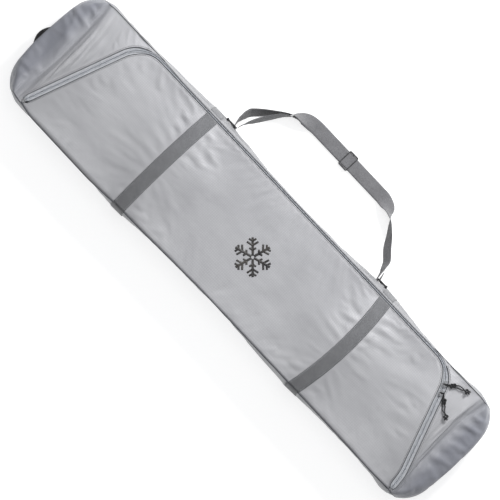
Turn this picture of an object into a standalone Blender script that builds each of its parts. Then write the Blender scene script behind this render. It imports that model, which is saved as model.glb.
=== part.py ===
"""A long snowboard bag with a zipped front flap and an adjustable shoulder strap.

The bag lies on its back. +X runs along it towards the foot end, where the two zip sliders
are parked, +Y points to the side that carries the shoulder strap, and +Z is the front.
The origin is under the middle of the bag, on the surface that it lies on. Metres.
"""
import math

import bmesh
import bpy
from mathutils import Matrix, Vector

# ---- driving dimensions of the bag ----
MIDDLE_X = 0.0035
HALF_LENGTH = 0.751
HALF_WIDTH = 0.1785
CORNER_RADIUS = 0.090
WEBBING = 0.0014
WEB_GAP = 0.0003
FABRIC = 0.0020
BACK_Z = WEBBING + WEB_GAP + 0.0002
FRONT_Z = 0.132
WAIST_Z = 0.064
ROLL_SIDE = 0.014
ROLL_END = 0.060
UNDER_SIDE = 0.013
UNDER_END = 0.030
SEAM_SIDE = math.radians(84)
SEAM_END = math.radians(8)
SEAM_GAP = 0.00025
BACK_GAP = 0.0013
GUSSET_SPLIT = math.radians(22.5)

# ---- the zip ----
ZIP_CORNERS = ((0.684, -0.1600), (0.6765, -0.1085), (0.5697, 0.1615), (-0.550, 0.1615), (-0.657, -0.1600))
ZIP_RADII = (0.120, 0.082, 0.085)
ZIP_SIDE_Y = 0.1615
STRIP_WIDE = 0.0085
STRIP_NARROW = 0.0039
STRIP_FADE = 0.032
END_FADE = 0.020
COIL_INNER = 0.0013
COIL_OUTER = 0.0033
COIL_Z = (FRONT_Z - 0.0024, FRONT_Z - 0.0004)
TAPE_Z = (FRONT_Z - 0.0034, FRONT_Z - 0.0027)
TAPE_WIDE = 0.0140
TAPE_NARROW = 0.0034
ZIP_END = 0.0060
STOP_LENGTH = 0.0035
UPPER_PAST_BEND = 0.013
LOWER_BEFORE_BEND = 0.010
NOTCH_REACH = 0.0105
TAPE_INSET = (0.002, 0.003)
STOP_FROM_END = 0.0038
PANEL_TIP = 0.0003
PANEL_TIP_LEAN = 0.004
CUTTER_REACH = (1.0, 0.3, 0.3)

# ---- sliders and cord pulls ----
SLIDER_LENGTH = 0.0165
SLIDER_WIDTH = 0.0110
SLIDER_TOP = (FRONT_Z + 0.0004, FRONT_Z + 0.0020)
SLIDER_UNDER = (FRONT_Z - 0.0054, FRONT_Z - 0.0038)
POST_WIDTH = 0.0016
POST_LENGTH = 0.0040
BAIL_Z = FRONT_Z + 0.0061
BAIL_BAR = 0.0012
BAIL_THIN = 0.0007
BAIL_HALF = 0.0052
CORD = 0.0022
PULL_CLEARANCE = 0.0005
UPPER_PULL = ((0.014, 0.0012), (0.026, 0.0035), (0.044, 0.0040), (0.055, 0.0015))
LOWER_PULL = ((0.016, 0.0030), (0.028, 0.0010), (0.044, -0.0010), (0.057, 0.0010))
UPPER_PULL_AIM = math.radians(27)
LOWER_PULL_AIM = math.radians(-33)
STRAND_SPREAD = 0.62
KNOT = 0.0034
KNOT_SHAPE = (1.0, 1.1, 0.8)
KNOT_PAST_END = 0.0048
UPPER_STRAND = ((0.0072, 0.0016, 0.0042), (0.0040, 0.0013, 0.0073), (0.0010, 0.0008, 0.0083))
LOWER_STRAND = (
    (-0.0019, 0.0004, 0.0077), (-0.0026, 0.0, 0.0061), (-0.0017, -0.0004, 0.0044),
    (0.0008, -0.0008, 0.0038), (0.0042, -0.0013, 0.0039), (0.0074, -0.0016, 0.0030),
)

# ---- webbing, rings and shoulder strap ----
WEB_WIDTH = 0.038
BANDS = {"head": -0.299, "foot": 0.336}
BAND_TOP_SIDE = math.radians(70)
BAND_FOOT_SIDE = math.radians(-78)
FLAP_BAND_HINGE = 0.0085
RING_WIRE = 0.0044
RING_HEIGHT = 0.0486
RING_DEPTH = 0.0272
RING_CORNER = 0.0028
RING_Y = 0.1838
RING_OFF_BAND = 0.0068
LAYER_RISE = 0.0052
STRAP_Z = 0.0064
STRAP_CLEAR = 0.0012
STRAP_Y = 0.3375
RETURN_JOIN_Y = 0.276
RETURN_LEVEL_X = -0.060
TRIGLIDE_X = 0.0126
TRIGLIDE = (0.030, 0.047)
TRIGLIDE_Z = (0.0022, 0.0097)
TRIGLIDE_BAR_TOP = 0.0035
TRIGLIDE_OUTER_Z = 0.0075
TRIGLIDE_SLOT = 0.0394
TRIGLIDE_RIM = 0.0030

# ---- hinge of the flap, piping and grab handle ----
HINGE_Y = -0.1625
PIPING = 0.0024
FLAP_EDGE_Y = -0.1602
HANDLE_Y = (-0.065, 0.040)
HANDLE_RISE = 0.0095
HANDLE_WIDTH = 0.025
HANDLE_THICK = 0.0022
HANDLE_PATCH = 0.016


def clear_scene():
    for obj in list(bpy.data.objects):
        bpy.data.objects.remove(obj, do_unlink=True)


def material(name, colour, roughness, metallic=0.0):
    made = bpy.data.materials.get(name)
    if made is None:
        made = bpy.data.materials.new(name)
        made.use_nodes = True
        shader = made.node_tree.nodes["Principled BSDF"]
        shader.inputs["Base Color"].default_value = (*colour, 1.0)
        shader.inputs["Roughness"].default_value = roughness
        shader.inputs["Metallic"].default_value = metallic
    return made


def fabric():
    return material("ripstop_fabric", (0.46, 0.46, 0.48), 0.55)


def band_webbing():
    return material("band_webbing", (0.19, 0.19, 0.20), 0.75)


def strap_webbing():
    return material("strap_webbing", (0.20, 0.20, 0.21), 0.75)


def zip_tape():
    return material("zip_tape", (0.30, 0.32, 0.36), 0.80)


def zip_coil():
    return material("zip_coil", (0.24, 0.25, 0.28), 0.45)


def black_plastic():
    return material("black_plastic", (0.012, 0.012, 0.014), 0.35)


def black_cord():
    return material("black_cord", (0.010, 0.010, 0.011), 0.80)


def slider_metal():
    return material("slider_metal", (0.42, 0.43, 0.45), 0.35, 1.0)


def new_object(name, points, faces, made_of, smooth=True):
    mesh = bpy.data.meshes.new(name)
    mesh.from_pydata([tuple(p) for p in points], [], faces)
    work = bmesh.new()
    work.from_mesh(mesh)
    bmesh.ops.recalc_face_normals(work, faces=work.faces)
    work.to_mesh(mesh)
    work.free()
    obj = bpy.data.objects.new(name, mesh)
    bpy.context.scene.collection.objects.link(obj)
    mesh.materials.append(made_of)
    if smooth:
        mesh.shade_smooth()
        mesh.set_sharp_from_angle(angle=math.radians(35))
    return obj


def set_origin(obj, point):
    """Moves the origin of an object that stands at zero to a point, and leaves its shape in place."""
    obj.data.transform(Matrix.Translation(-Vector(point)))
    obj.location = point


# ---- closed solids from rows of points ----
def slab(name, outer, inner, made_of):
    """A closed solid between two equal grids of points, given as rows."""
    rows = len(outer)
    wide = len(outer[0])
    points = [p for row in outer for p in row] + [p for row in inner for p in row]
    under = rows * wide
    faces = []
    for i in range(rows - 1):
        a = i * wide
        b = a + wide
        for k in range(wide - 1):
            faces.append((a + k, a + k + 1, b + k + 1, b + k))
            faces.append((under + a + k, under + b + k, under + b + k + 1, under + a + k + 1))
        faces.append((a, b, under + b, under + a))
        faces.append((a + wide - 1, under + a + wide - 1, under + b + wide - 1, b + wide - 1))
    for k in range(wide - 1):
        faces.append((k, under + k, under + k + 1, k + 1))
        last = (rows - 1) * wide + k
        faces.append((last, last + 1, under + last + 1, under + last))
    return new_object(name, points, faces, made_of)


def prism(name, outline, low, high, made_of):
    """A flat outline in plan, extruded from low to high."""
    count = len(outline)
    points = [(x, y, low) for x, y in outline] + [(x, y, high) for x, y in outline]
    faces = [tuple(range(count)), tuple(range(2 * count - 1, count - 1, -1))]
    for i in range(count):
        k = (i + 1) % count
        faces.append((i, k, count + k, count + i))
    return new_object(name, points, faces, made_of)


def box(name, low, high, made_of):
    outline = ((low[0], low[1]), (high[0], low[1]), (high[0], high[1]), (low[0], high[1]))
    return prism(name, outline, low[2], high[2], made_of)


def combine(obj, cutter, operation):
    cutter.hide_render = True
    cutter.display_type = "WIRE"
    modifier = obj.modifiers.new(operation.lower(), "BOOLEAN")
    modifier.operation = operation
    modifier.solver = "EXACT"
    modifier.object = cutter


def smooth_step(value):
    value = min(max(value, 0.0), 1.0)
    return value * value * (3 - 2 * value)


# ---- the bag's shell: a rounded plan outline swept through a barrel profile ----
def plan_stations():
    """(x, y, angle of the outward normal) once round the outline, anticlockwise from the foot end."""
    reach = HALF_LENGTH - CORNER_RADIUS
    width = HALF_WIDTH - CORNER_RADIUS
    runs = (
        ((reach, -width), (reach, width), 0.0, 3),
        ((reach, width), (-reach, width), 90.0, 10),
        ((-reach, width), (-reach, -width), 180.0, 3),
        ((-reach, -width), (reach, -width), 270.0, 10),
    )
    stations = []
    for (x0, y0), (x1, y1), angle, parts in runs:
        normal = math.radians(angle)
        out = (CORNER_RADIUS * math.cos(normal), CORNER_RADIUS * math.sin(normal))
        for k in range(1, parts):
            share = k / parts
            stations.append((x0 + (x1 - x0) * share + out[0], y0 + (y1 - y0) * share + out[1], normal))
        for k in range(9):
            turn = normal + math.radians(90) * k / 8
            stations.append((x1 + CORNER_RADIUS * math.cos(turn), y1 + CORNER_RADIUS * math.sin(turn), turn))
    return [(x + MIDDLE_X, y, turn) for x, y, turn in stations]


def shell_point(station, phi, depth=0.0):
    """A point on the shell at profile angle phi, from -90 degrees at the back to 90 at the front."""
    x, y, turn = station
    endness = math.cos(turn) ** 2
    if phi >= 0:
        inset = ROLL_SIDE + (ROLL_END - ROLL_SIDE) * smooth_step(endness)
        tall = FRONT_Z - WAIST_Z
    else:
        inset = UNDER_SIDE + (UNDER_END - UNDER_SIDE) * endness
        tall = WAIST_Z - BACK_Z
    out = -inset * (1 - math.cos(phi))
    up = tall * math.sin(phi)
    normal = Vector((tall * math.cos(phi), inset * math.sin(phi))).normalized()
    out -= normal.x * depth
    up -= normal.y * depth
    return (x + out * math.cos(turn), y + out * math.sin(turn), WAIST_Z + up)


def seam_angle(turn):
    """The profile angle of the seam between front and gusset: high on the sides, low on the ends."""
    return SEAM_SIDE + (SEAM_END - SEAM_SIDE) * smooth_step(math.cos(turn) ** 2 / 0.4)


def seam_clearance(turn, phi):
    """Half of the gap at a seam, as a profile angle."""
    inset = ROLL_SIDE + (ROLL_END - ROLL_SIDE) * smooth_step(math.cos(turn) ** 2)
    tall = FRONT_Z - WAIST_Z
    return SEAM_GAP / math.hypot(inset * math.sin(phi), tall * math.cos(phi))


def gusset(name, stations):
    outer = []
    inner = []
    for index, (x, y, turn) in enumerate(stations):
        shift = {0: SEAM_GAP, len(stations) - 1: -SEAM_GAP}.get(index, 0.0)
        station = (x - math.sin(turn) * shift, y + math.cos(turn) * shift, turn)
        top = seam_angle(turn)
        top -= seam_clearance(turn, top)
        steps = 12
        low = -SEAM_SIDE
        angles = [low + (top - low) * k / steps for k in range(steps + 1)]
        outer.append([shell_point(station, a) for a in angles])
        inner.append([shell_point(station, a, FABRIC) for a in angles])
    return slab(name, outer, inner, fabric())


def make_gussets():
    stations = plan_stations()
    count = len(stations)
    turns = [math.degrees(s[2]) % 360 for s in stations]
    split = math.degrees(GUSSET_SPLIT)
    ends = []
    for wanted in (split, 180 - split, 180 + split, 360 - split):
        ends.append(min(range(count), key=lambda i, w=wanted: abs(turns[i] - w)))
    names = ("gusset_strap_side", "gusset_head_end", "gusset_hinge_side", "gusset_foot_end")
    for k, name in enumerate(names):
        first = ends[k]
        last = ends[(k + 1) % 4]
        if last < first:
            last += count
        gusset(name, [stations[i % count] for i in range(first, last + 1)])


def front_skin(name):
    """The whole front as one closed sheet, before it is cut along the zip."""
    outer = []
    inner = []
    stations = plan_stations()
    for x, y, turn in stations:
        low = seam_angle(turn)
        low += seam_clearance(turn, low)
        steps = 6
        angles = [low + (math.pi / 2 - low) * k / steps for k in range(steps + 1)]
        outer.append([shell_point((x, y, turn), a) for a in angles])
        inner.append([shell_point((x, y, turn), a, FABRIC) for a in angles])
    rows = len(outer)
    wide = len(outer[0])
    points = [p for row in outer for p in row] + [p for row in inner for p in row]
    under = rows * wide
    faces = []
    for i in range(rows):
        a = i * wide
        b = (i + 1) % rows * wide
        for k in range(wide - 1):
            faces.append((a + k, b + k, b + k + 1, a + k + 1))
            faces.append((under + a + k, under + a + k + 1, under + b + k + 1, under + b + k))
        faces.append((a, under + a, under + b, b))
    faces.append(tuple(i * wide + wide - 1 for i in range(rows)))
    faces.append(tuple(under + i * wide + wide - 1 for i in reversed(range(rows))))
    return new_object(name, points, faces, fabric())


def back_panel():
    outline = []
    for x, y, turn in plan_stations():
        px, py, _ = shell_point((x, y, turn), -SEAM_SIDE)
        outline.append((px - BACK_GAP * math.cos(turn), py - BACK_GAP * math.sin(turn)))
    return prism("back_panel", outline, BACK_Z, BACK_Z + FABRIC, fabric())


# ---- the zip's path in plan, from the foot's hinge side round to the head's ----
class ZipPath:
    def __init__(self):
        self.points = [Vector(ZIP_CORNERS[0])]
        self.bends = []
        for index, radius in enumerate(ZIP_RADII, start=1):
            before = Vector(ZIP_CORNERS[index - 1])
            corner = Vector(ZIP_CORNERS[index])
            after = Vector(ZIP_CORNERS[index + 1])
            self.add_bend((corner - before).normalized(), corner, (after - corner).normalized(), radius)
        self.points.append(Vector(ZIP_CORNERS[-1]))
        self.lengths = [0.0]
        for a, b in zip(self.points, self.points[1:]):
            self.lengths.append(self.lengths[-1] + (b - a).length)

    def add_bend(self, way_in, corner, way_out, radius):
        turn = way_in.angle_signed(way_out)
        reach = radius * math.tan(abs(turn) / 2)
        start = corner - way_in * reach
        side = Vector((-way_in.y, way_in.x))
        centre = start + side * radius
        parts = max(2, round(abs(math.degrees(turn)) / 9))
        first = math.atan2(start.y - centre.y, start.x - centre.x)
        for k in range(parts + 1):
            angle = first + abs(turn) * k / parts
            self.points.append(centre + radius * Vector((math.cos(angle), math.sin(angle))))
        bend = {"start": start, "centre": centre, "radius": radius, "first": first, "way": way_in}
        self.bends.append(bend)

    def normals(self):
        out = []
        for i in range(len(self.points)):
            a = self.points[max(i - 1, 0)]
            b = self.points[min(i + 1, len(self.points) - 1)]
            way = (b - a).normalized()
            out.append(Vector((-way.y, way.x)))
        return out

    def part(self, low, high):
        """Points and left normals between two lengths along the path."""
        normals = self.normals()
        out = []
        for i, at in enumerate(self.lengths):
            if low < at < high:
                out.append((self.points[i], normals[i]))
        return [self.at(low)] + out + [self.at(high)]

    def at(self, length):
        normals = self.normals()
        for i in range(len(self.lengths) - 1):
            if length <= self.lengths[i + 1] or i == len(self.lengths) - 2:
                share = (length - self.lengths[i]) / (self.lengths[i + 1] - self.lengths[i])
                point = self.points[i].lerp(self.points[i + 1], share)
                return point, normals[i].lerp(normals[i + 1], share).normalized()
        return self.points[-1], normals[-1]


def strip_share(y):
    """1 where the zip strip is at its full width, 0 where it runs along the strap side."""
    return smooth_step((ZIP_SIDE_Y - y) / STRIP_FADE)


def end_taper(y):
    """0 at the zip's two ends, on the hinge side, and 1 beyond the short stretch where it widens."""
    return smooth_step((y - ZIP_CORNERS[0][1]) / END_FADE)


def strip_half(y):
    return STRIP_NARROW + (STRIP_WIDE - STRIP_NARROW) * strip_share(y) * end_taper(y)


def fixed_tape_half(y):
    return TAPE_NARROW + (TAPE_WIDE - TAPE_NARROW) * strip_share(y) * end_taper(y)


def strip(name, stations, near, far, heights, made_of):
    """A flat strip beside the zip's path. near and far give its two edges' offsets to the left."""
    outer = []
    inner = []
    for point, normal in stations:
        a = point + normal * near(point.y)
        b = point + normal * far(point.y)
        outer.append([(a.x, a.y, heights[1]), (b.x, b.y, heights[1])])
        inner.append([(a.x, a.y, heights[0]), (b.x, b.y, heights[0])])
    return slab(name, outer, inner, made_of)


def front_panel(name, path, at_foot):
    """The fixed front panel beyond the zip's diagonal at one end."""
    skin = front_skin(name)
    half = path.lengths[-1] / 2
    stations = path.part(0.0, half) if at_foot else path.part(half, path.lengths[-1])
    edge = [point - normal * strip_half(point.y) for point, normal in stations]
    edge = [p for p in edge if p.y < ZIP_SIDE_Y + STRIP_NARROW - PANEL_TIP]
    far_x, far_y, far_z = CUTTER_REACH
    if at_foot:
        outline = [(edge[0].x, -far_y)] + [tuple(p) for p in edge]
        outline += [(edge[-1].x - PANEL_TIP_LEAN, far_y), (-far_x, far_y), (-far_x, -far_y)]
    else:
        outline = [(far_x, -far_y), (far_x, far_y), (edge[0].x + PANEL_TIP_LEAN, far_y)]
        outline += [tuple(p) for p in edge] + [(edge[-1].x, -far_y)]
    cutter = prism(name + "_cutter", outline, -far_z, far_z, fabric())
    combine(skin, cutter, "DIFFERENCE")
    return skin


def front_flap(path):
    stations = path.part(0.0, path.lengths[-1])
    outline = []
    for point, normal in stations:
        edge = point + normal * strip_half(point.y)
        outline.append((edge.x, max(edge.y, FLAP_EDGE_Y)))
    outline[0] = (outline[0][0], FLAP_EDGE_Y)
    outline[-1] = (outline[-1][0], FLAP_EDGE_Y)
    flap = prism("front_flap", outline, FRONT_Z - FABRIC, FRONT_Z, fabric())
    set_origin(flap, (0.0, HINGE_Y, FRONT_Z))
    return flap


def zip_strips(path, notch):
    """Tape and coil on both sides of the zip. The flap's are left out between the notch's two lengths."""
    end = path.lengths[-1]
    whole = path.part(TAPE_INSET[0], end - TAPE_INSET[0])
    strip("zip_tape_fixed", whole, lambda y: -COIL_INNER, lambda y: -fixed_tape_half(y), TAPE_Z, zip_tape())
    strip(
        "zip_coil_fixed",
        path.part(ZIP_END, end - ZIP_END),
        lambda y: -COIL_INNER,
        lambda y: -COIL_OUTER,
        COIL_Z,
        zip_coil(),
    )
    pieces = {
        "zip_tape_flap_foot": (TAPE_INSET[1], notch[0], TAPE_WIDE, TAPE_Z, zip_tape()),
        "zip_tape_flap": (notch[1], end - TAPE_INSET[1], TAPE_WIDE, TAPE_Z, zip_tape()),
        "zip_coil_flap_foot": (ZIP_END, notch[0], COIL_OUTER, COIL_Z, zip_coil()),
        "zip_coil_flap": (notch[1], end - ZIP_END, COIL_OUTER, COIL_Z, zip_coil()),
    }
    for name, (low, high, far, heights, made_of) in pieces.items():
        made = strip(name, path.part(low, high), lambda y: COIL_INNER, lambda y, f=far: f, heights, made_of)
        set_origin(made, (0.0, HINGE_Y, FRONT_Z))


def zip_stops(path):
    for name, at in (("zip_stop_foot", STOP_FROM_END), ("zip_stop_head", path.lengths[-1] - STOP_FROM_END)):
        stations = path.part(at - STOP_LENGTH / 2, at + STOP_LENGTH / 2)
        heights = (COIL_Z[0], COIL_Z[1] + 0.0002)
        strip(name, stations, lambda y: -COIL_INNER, lambda y: -COIL_OUTER, heights, slider_metal())


# ---- sliders: two plates joined by a post, with a bail on top ----
def slider_outline(length, width):
    nose = length / 2
    shoulder = length * 0.18
    return (
        (nose, -width * 0.34), (nose, width * 0.34), (shoulder, width / 2),
        (-nose * 0.7, width * 0.42), (-nose, width * 0.25),
        (-nose, -width * 0.25), (-nose * 0.7, -width * 0.42), (shoulder, -width / 2),
    )


def slider(name, place, way):
    turn = Matrix.Rotation(math.atan2(way.y, way.x), 4, "Z")
    seat = Matrix.Translation((place.x, place.y, 0.0)) @ turn
    outline = slider_outline(SLIDER_LENGTH, SLIDER_WIDTH)
    body = prism(name, outline, *SLIDER_TOP, slider_metal())
    under = prism(name + "_under", outline, *SLIDER_UNDER, slider_metal())
    post_low = SLIDER_UNDER[1] - 0.0003
    post_high = SLIDER_TOP[0] + 0.0003
    post = box(
        name + "_post",
        (-POST_LENGTH / 2, -POST_WIDTH / 2, post_low),
        (POST_LENGTH / 2, POST_WIDTH / 2, post_high),
        slider_metal(),
    )
    leg = 0.0014
    foot = SLIDER_TOP[1] - 0.0003
    crown = BAIL_Z + BAIL_BAR / 2
    arch = [
        (-BAIL_HALF - leg, foot), (-BAIL_HALF, foot), (-BAIL_HALF, crown - BAIL_BAR),
        (BAIL_HALF, crown - BAIL_BAR), (BAIL_HALF, foot), (BAIL_HALF + leg, foot),
        (BAIL_HALF + leg, crown - 0.0010), (BAIL_HALF + 0.0002, crown),
        (-BAIL_HALF - 0.0002, crown), (-BAIL_HALF - leg, crown - 0.0010),
    ]
    count = len(arch)
    points = [(x, -BAIL_THIN, z) for x, z in arch] + [(x, BAIL_THIN, z) for x, z in arch]
    faces = [tuple(range(count)), tuple(range(2 * count - 1, count - 1, -1))]
    faces += [(i, (i + 1) % count, count + (i + 1) % count, count + i) for i in range(count)]
    bail = new_object(name + "_bail", points, faces, slider_metal())
    for piece in (post, under, bail):
        piece.data.transform(seat)
        combine(body, piece, "UNION")
    body.data.transform(seat)
    return body


def smooth_route(points, count):
    """count points on one smooth curve through the given ones, evenly spread between them."""
    points = [Vector(p) for p in points]
    ends = [points[0] * 2 - points[1]] + points + [points[-1] * 2 - points[-2]]
    spans = len(points) - 1
    out = []
    for n in range(count):
        at = spans * n / (count - 1)
        i = min(int(at), spans - 1)
        t = at - i
        p0, p1, p2, p3 = ends[i:i + 4]
        step = (p2 - p0) * t + (2 * p0 - 5 * p1 + 4 * p2 - p3) * t * t
        step += (3 * p1 - p0 - 3 * p2 + p3) * t * t * t
        out.append(p1 + step / 2)
    return out


def tube(name, points, radius, made_of, closed=False, sides=2):
    curve = bpy.data.curves.new(name, "CURVE")
    curve.dimensions = "3D"
    curve.bevel_depth = radius
    curve.bevel_resolution = sides
    curve.use_fill_caps = True
    spline = curve.splines.new("POLY")
    spline.points.add(len(points) - 1)
    for slot, point in zip(spline.points, points):
        slot.co = (*point, 1.0)
    spline.use_cyclic_u = closed
    spline.use_smooth = True
    obj = bpy.data.objects.new(name, curve)
    bpy.context.scene.collection.objects.link(obj)
    curve.materials.append(made_of)
    return obj


def cord_pull(name, place, way, aim, bows):
    """A doubled cord looped round the bail's bar, lying on the panel, and the knot that gathers it."""
    radius = CORD / 2
    spread = CORD * STRAND_SPREAD
    out = Vector((math.cos(aim), math.sin(aim)))
    side = Vector((-out.y, out.x))
    across = Vector((way.y, -way.x))
    across = across if across.dot(out) > 0 else -across
    along = Vector((-across.y, across.x))
    rest = FRONT_Z + radius + PULL_CLEARANCE
    start = Vector((place.x, place.y))

    def laid(reach, bow, shift):
        at = start + out * reach + side * (bow + shift)
        return (at.x, at.y, rest)

    def looped(reach, shift, height):
        at = start + across * reach + along * shift
        return (at.x, at.y, FRONT_Z + height)

    route = [laid(reach, bow, spread) for reach, bow in reversed(bows)]
    route += [looped(*p) for p in UPPER_STRAND]
    route += [looped(*p) for p in LOWER_STRAND]
    route += [laid(reach, bow, -spread) for reach, bow in bows]
    tube(name, smooth_route(route, 60), radius, black_cord())
    reach, bow = bows[-1]
    knot_at = start + out * (reach + KNOT_PAST_END) + side * bow
    long, wide, tall = (KNOT * share for share in KNOT_SHAPE)
    mesh = bpy.data.meshes.new(name.replace("cord", "knot"))
    work = bmesh.new()
    bmesh.ops.create_icosphere(work, subdivisions=2, radius=1.0)
    seat = Matrix.Translation((knot_at.x, knot_at.y, FRONT_Z + tall + PULL_CLEARANCE))
    seat = seat @ Matrix.Rotation(aim, 4, "Z") @ Matrix.Diagonal((long, wide, tall, 1.0))
    work.transform(seat)
    work.to_mesh(mesh)
    work.free()
    mesh.materials.append(black_cord())
    mesh.shade_smooth()
    knot = bpy.data.objects.new(name.replace("cord", "knot"), mesh)
    bpy.context.scene.collection.objects.link(knot)
    set_origin(knot, (place.x, place.y, BAIL_Z))


# ---- webbing bands sewn round the bag ----
def side_band(name, middle, side):
    """The part of a band that crosses one gusset, standing just proud of it."""
    turn = math.radians(90 * side)
    steps = 16
    angles = [BAND_FOOT_SIDE + (BAND_TOP_SIDE - BAND_FOOT_SIDE) * k / steps for k in range(steps + 1)]
    outer = []
    inner = []
    for x in (middle - WEB_WIDTH / 2, middle + WEB_WIDTH / 2):
        station = (x, HALF_WIDTH * side, turn)
        outer.append([shell_point(station, a, -WEB_GAP - WEBBING) for a in angles])
        inner.append([shell_point(station, a, -WEB_GAP) for a in angles])
    return slab(name, outer, inner, band_webbing())


def make_bands():
    for end, middle in BANDS.items():
        side_band(f"band_{end}_strap_gusset", middle, 1)
        side_band(f"band_{end}_hinge_gusset", middle, -1)
        low = middle - WEB_WIDTH / 2
        high = middle + WEB_WIDTH / 2
        back_edge = HALF_WIDTH - UNDER_SIDE - 0.006
        box(f"band_{end}_back", (low, -back_edge, 0.0), (high, back_edge, WEBBING), band_webbing())
        flap_low = HINGE_Y + FLAP_BAND_HINGE
        flap_high = ZIP_SIDE_Y - STRIP_NARROW - 0.0008
        height = FRONT_Z + WEB_GAP
        web = box(
            f"band_{end}_flap", (low, flap_low, height), (high, flap_high, height + WEBBING), band_webbing()
        )
        set_origin(web, (0.0, HINGE_Y, FRONT_Z))


# ---- rings, their tabs and the strap ----
def ring_places():
    """For each end: the x of the ring's sewn bar, the x of its free bar, and the way it points."""
    half = WEB_WIDTH / 2
    sewn_head = BANDS["head"] + half + RING_OFF_BAND
    sewn_foot = BANDS["foot"] - half - RING_OFF_BAND
    return {"head": (sewn_head, sewn_head + RING_DEPTH, 1), "foot": (sewn_foot, sewn_foot - RING_DEPTH, -1)}


def strap_ring(name, sewn, free, way):
    half = (RING_HEIGHT - RING_WIRE) / 2
    corners = ((sewn, -half), (free, -half), (free, half), (sewn, half))
    inward = ((way, 1), (-way, 1), (-way, -1), (way, -1))
    starts = (180, 270, 0, 90) if way > 0 else (270, 180, 90, 0)
    points = []
    for (x, z), (dx, dz), first in zip(corners, inward, starts):
        for k in range(5):
            step = 90 * k / 4 if way > 0 else 90 - 90 * k / 4
            angle = math.radians(first + step)
            cx = x + dx * RING_CORNER
            cz = z + dz * RING_CORNER
            points.append((cx + RING_CORNER * math.cos(angle) - sewn, 0.0,
                           WAIST_Z + cz + RING_CORNER * math.sin(angle)))
    ring = tube(name, points, RING_WIRE / 2, black_plastic(), True, 3)
    ring.location = (sewn, RING_Y, 0.0)
    return ring


def ring_tab(name, sewn, way):
    """Webbing folded round the ring's sewn bar, with a tongue that lies on the gusset towards the band."""
    inner = RING_WIRE / 2 + 0.0005
    outer = inner + WEBBING
    tongue = RING_OFF_BAND - 0.0006
    floor = RING_Y - outer
    outline = [(-tongue, floor), (-tongue, floor + WEBBING * 1.6)]
    outline += [(outer * math.cos(a), RING_Y + outer * math.sin(a)) for a in
                (math.radians(150 - 30 * k) for k in range(9))]
    hole = [(inner * math.cos(math.radians(30 * k)), RING_Y + inner * math.sin(math.radians(30 * k)))
            for k in range(12)]
    half = WEB_WIDTH / 2 - 0.001
    outline = [(sewn + way * x, y) for x, y in outline]
    hole = [(sewn + way * x, y) for x, y in hole]
    tab = prism(name, outline, WAIST_Z - half, WAIST_Z + half, band_webbing())
    cut = prism(name + "_cutter", hole, WAIST_Z - 2 * half, WAIST_Z + 2 * half, band_webbing())
    combine(tab, cut, "DIFFERENCE")
    return tab


def floor_height(roll, rise):
    """How high the upper layer's middle lies when the webbing is rolled by this angle on the floor."""
    return rise * abs(math.cos(roll)) + WEB_WIDTH / 2 * abs(math.sin(roll)) + STRAP_CLEAR


def ribbon_frames(stations, count, width=WEB_WIDTH, rise=None):
    """Points, directions across the webbing and normals along (x, y, z, roll in degrees) stations.

    Roll 0 is flat and -90 stands on its edge. A rise keeps the whole width off the floor, with that
    much room for a layer under it.
    """
    route = smooth_route([s[:3] for s in stations], count)
    rolls = smooth_route([(s[3], 0.0, 0.0) for s in stations], count)
    frames = []
    level = None
    for i, point in enumerate(route):
        roll = math.radians(rolls[i].x)
        if rise is not None:
            point.z = max(point.z, floor_height(roll, rise))
        way = (route[min(i + 1, count - 1)] - route[max(i - 1, 0)]).normalized()
        flat = Vector((-way.y, way.x, 0.0))
        if level is not None and (flat.length < 0.5 or flat.dot(level) < 0):
            flat = level
        level = flat.normalized()
        across = level * math.cos(roll) + Vector((0, 0, 1)) * math.sin(roll)
        across = (across - way * across.dot(way)).normalized()
        frames.append((point, across, way.cross(across).normalized(), rolls[i].x))
    return frames


def ribbon(name, frames, made_of, width=WEB_WIDTH, thick=WEBBING):
    outer = []
    inner = []
    for point, across, up, _ in frames:
        half = across * width / 2
        lift = up * thick / 2
        outer.append([point - half + lift, point + half + lift])
        inner.append([point - half - lift, point + half - lift])
    return slab(name, outer, inner, made_of)


def on_floor(x, y, roll, lift=0.0):
    return (x, y, floor_height(math.radians(roll), LAYER_RISE) + lift, roll)


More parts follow.
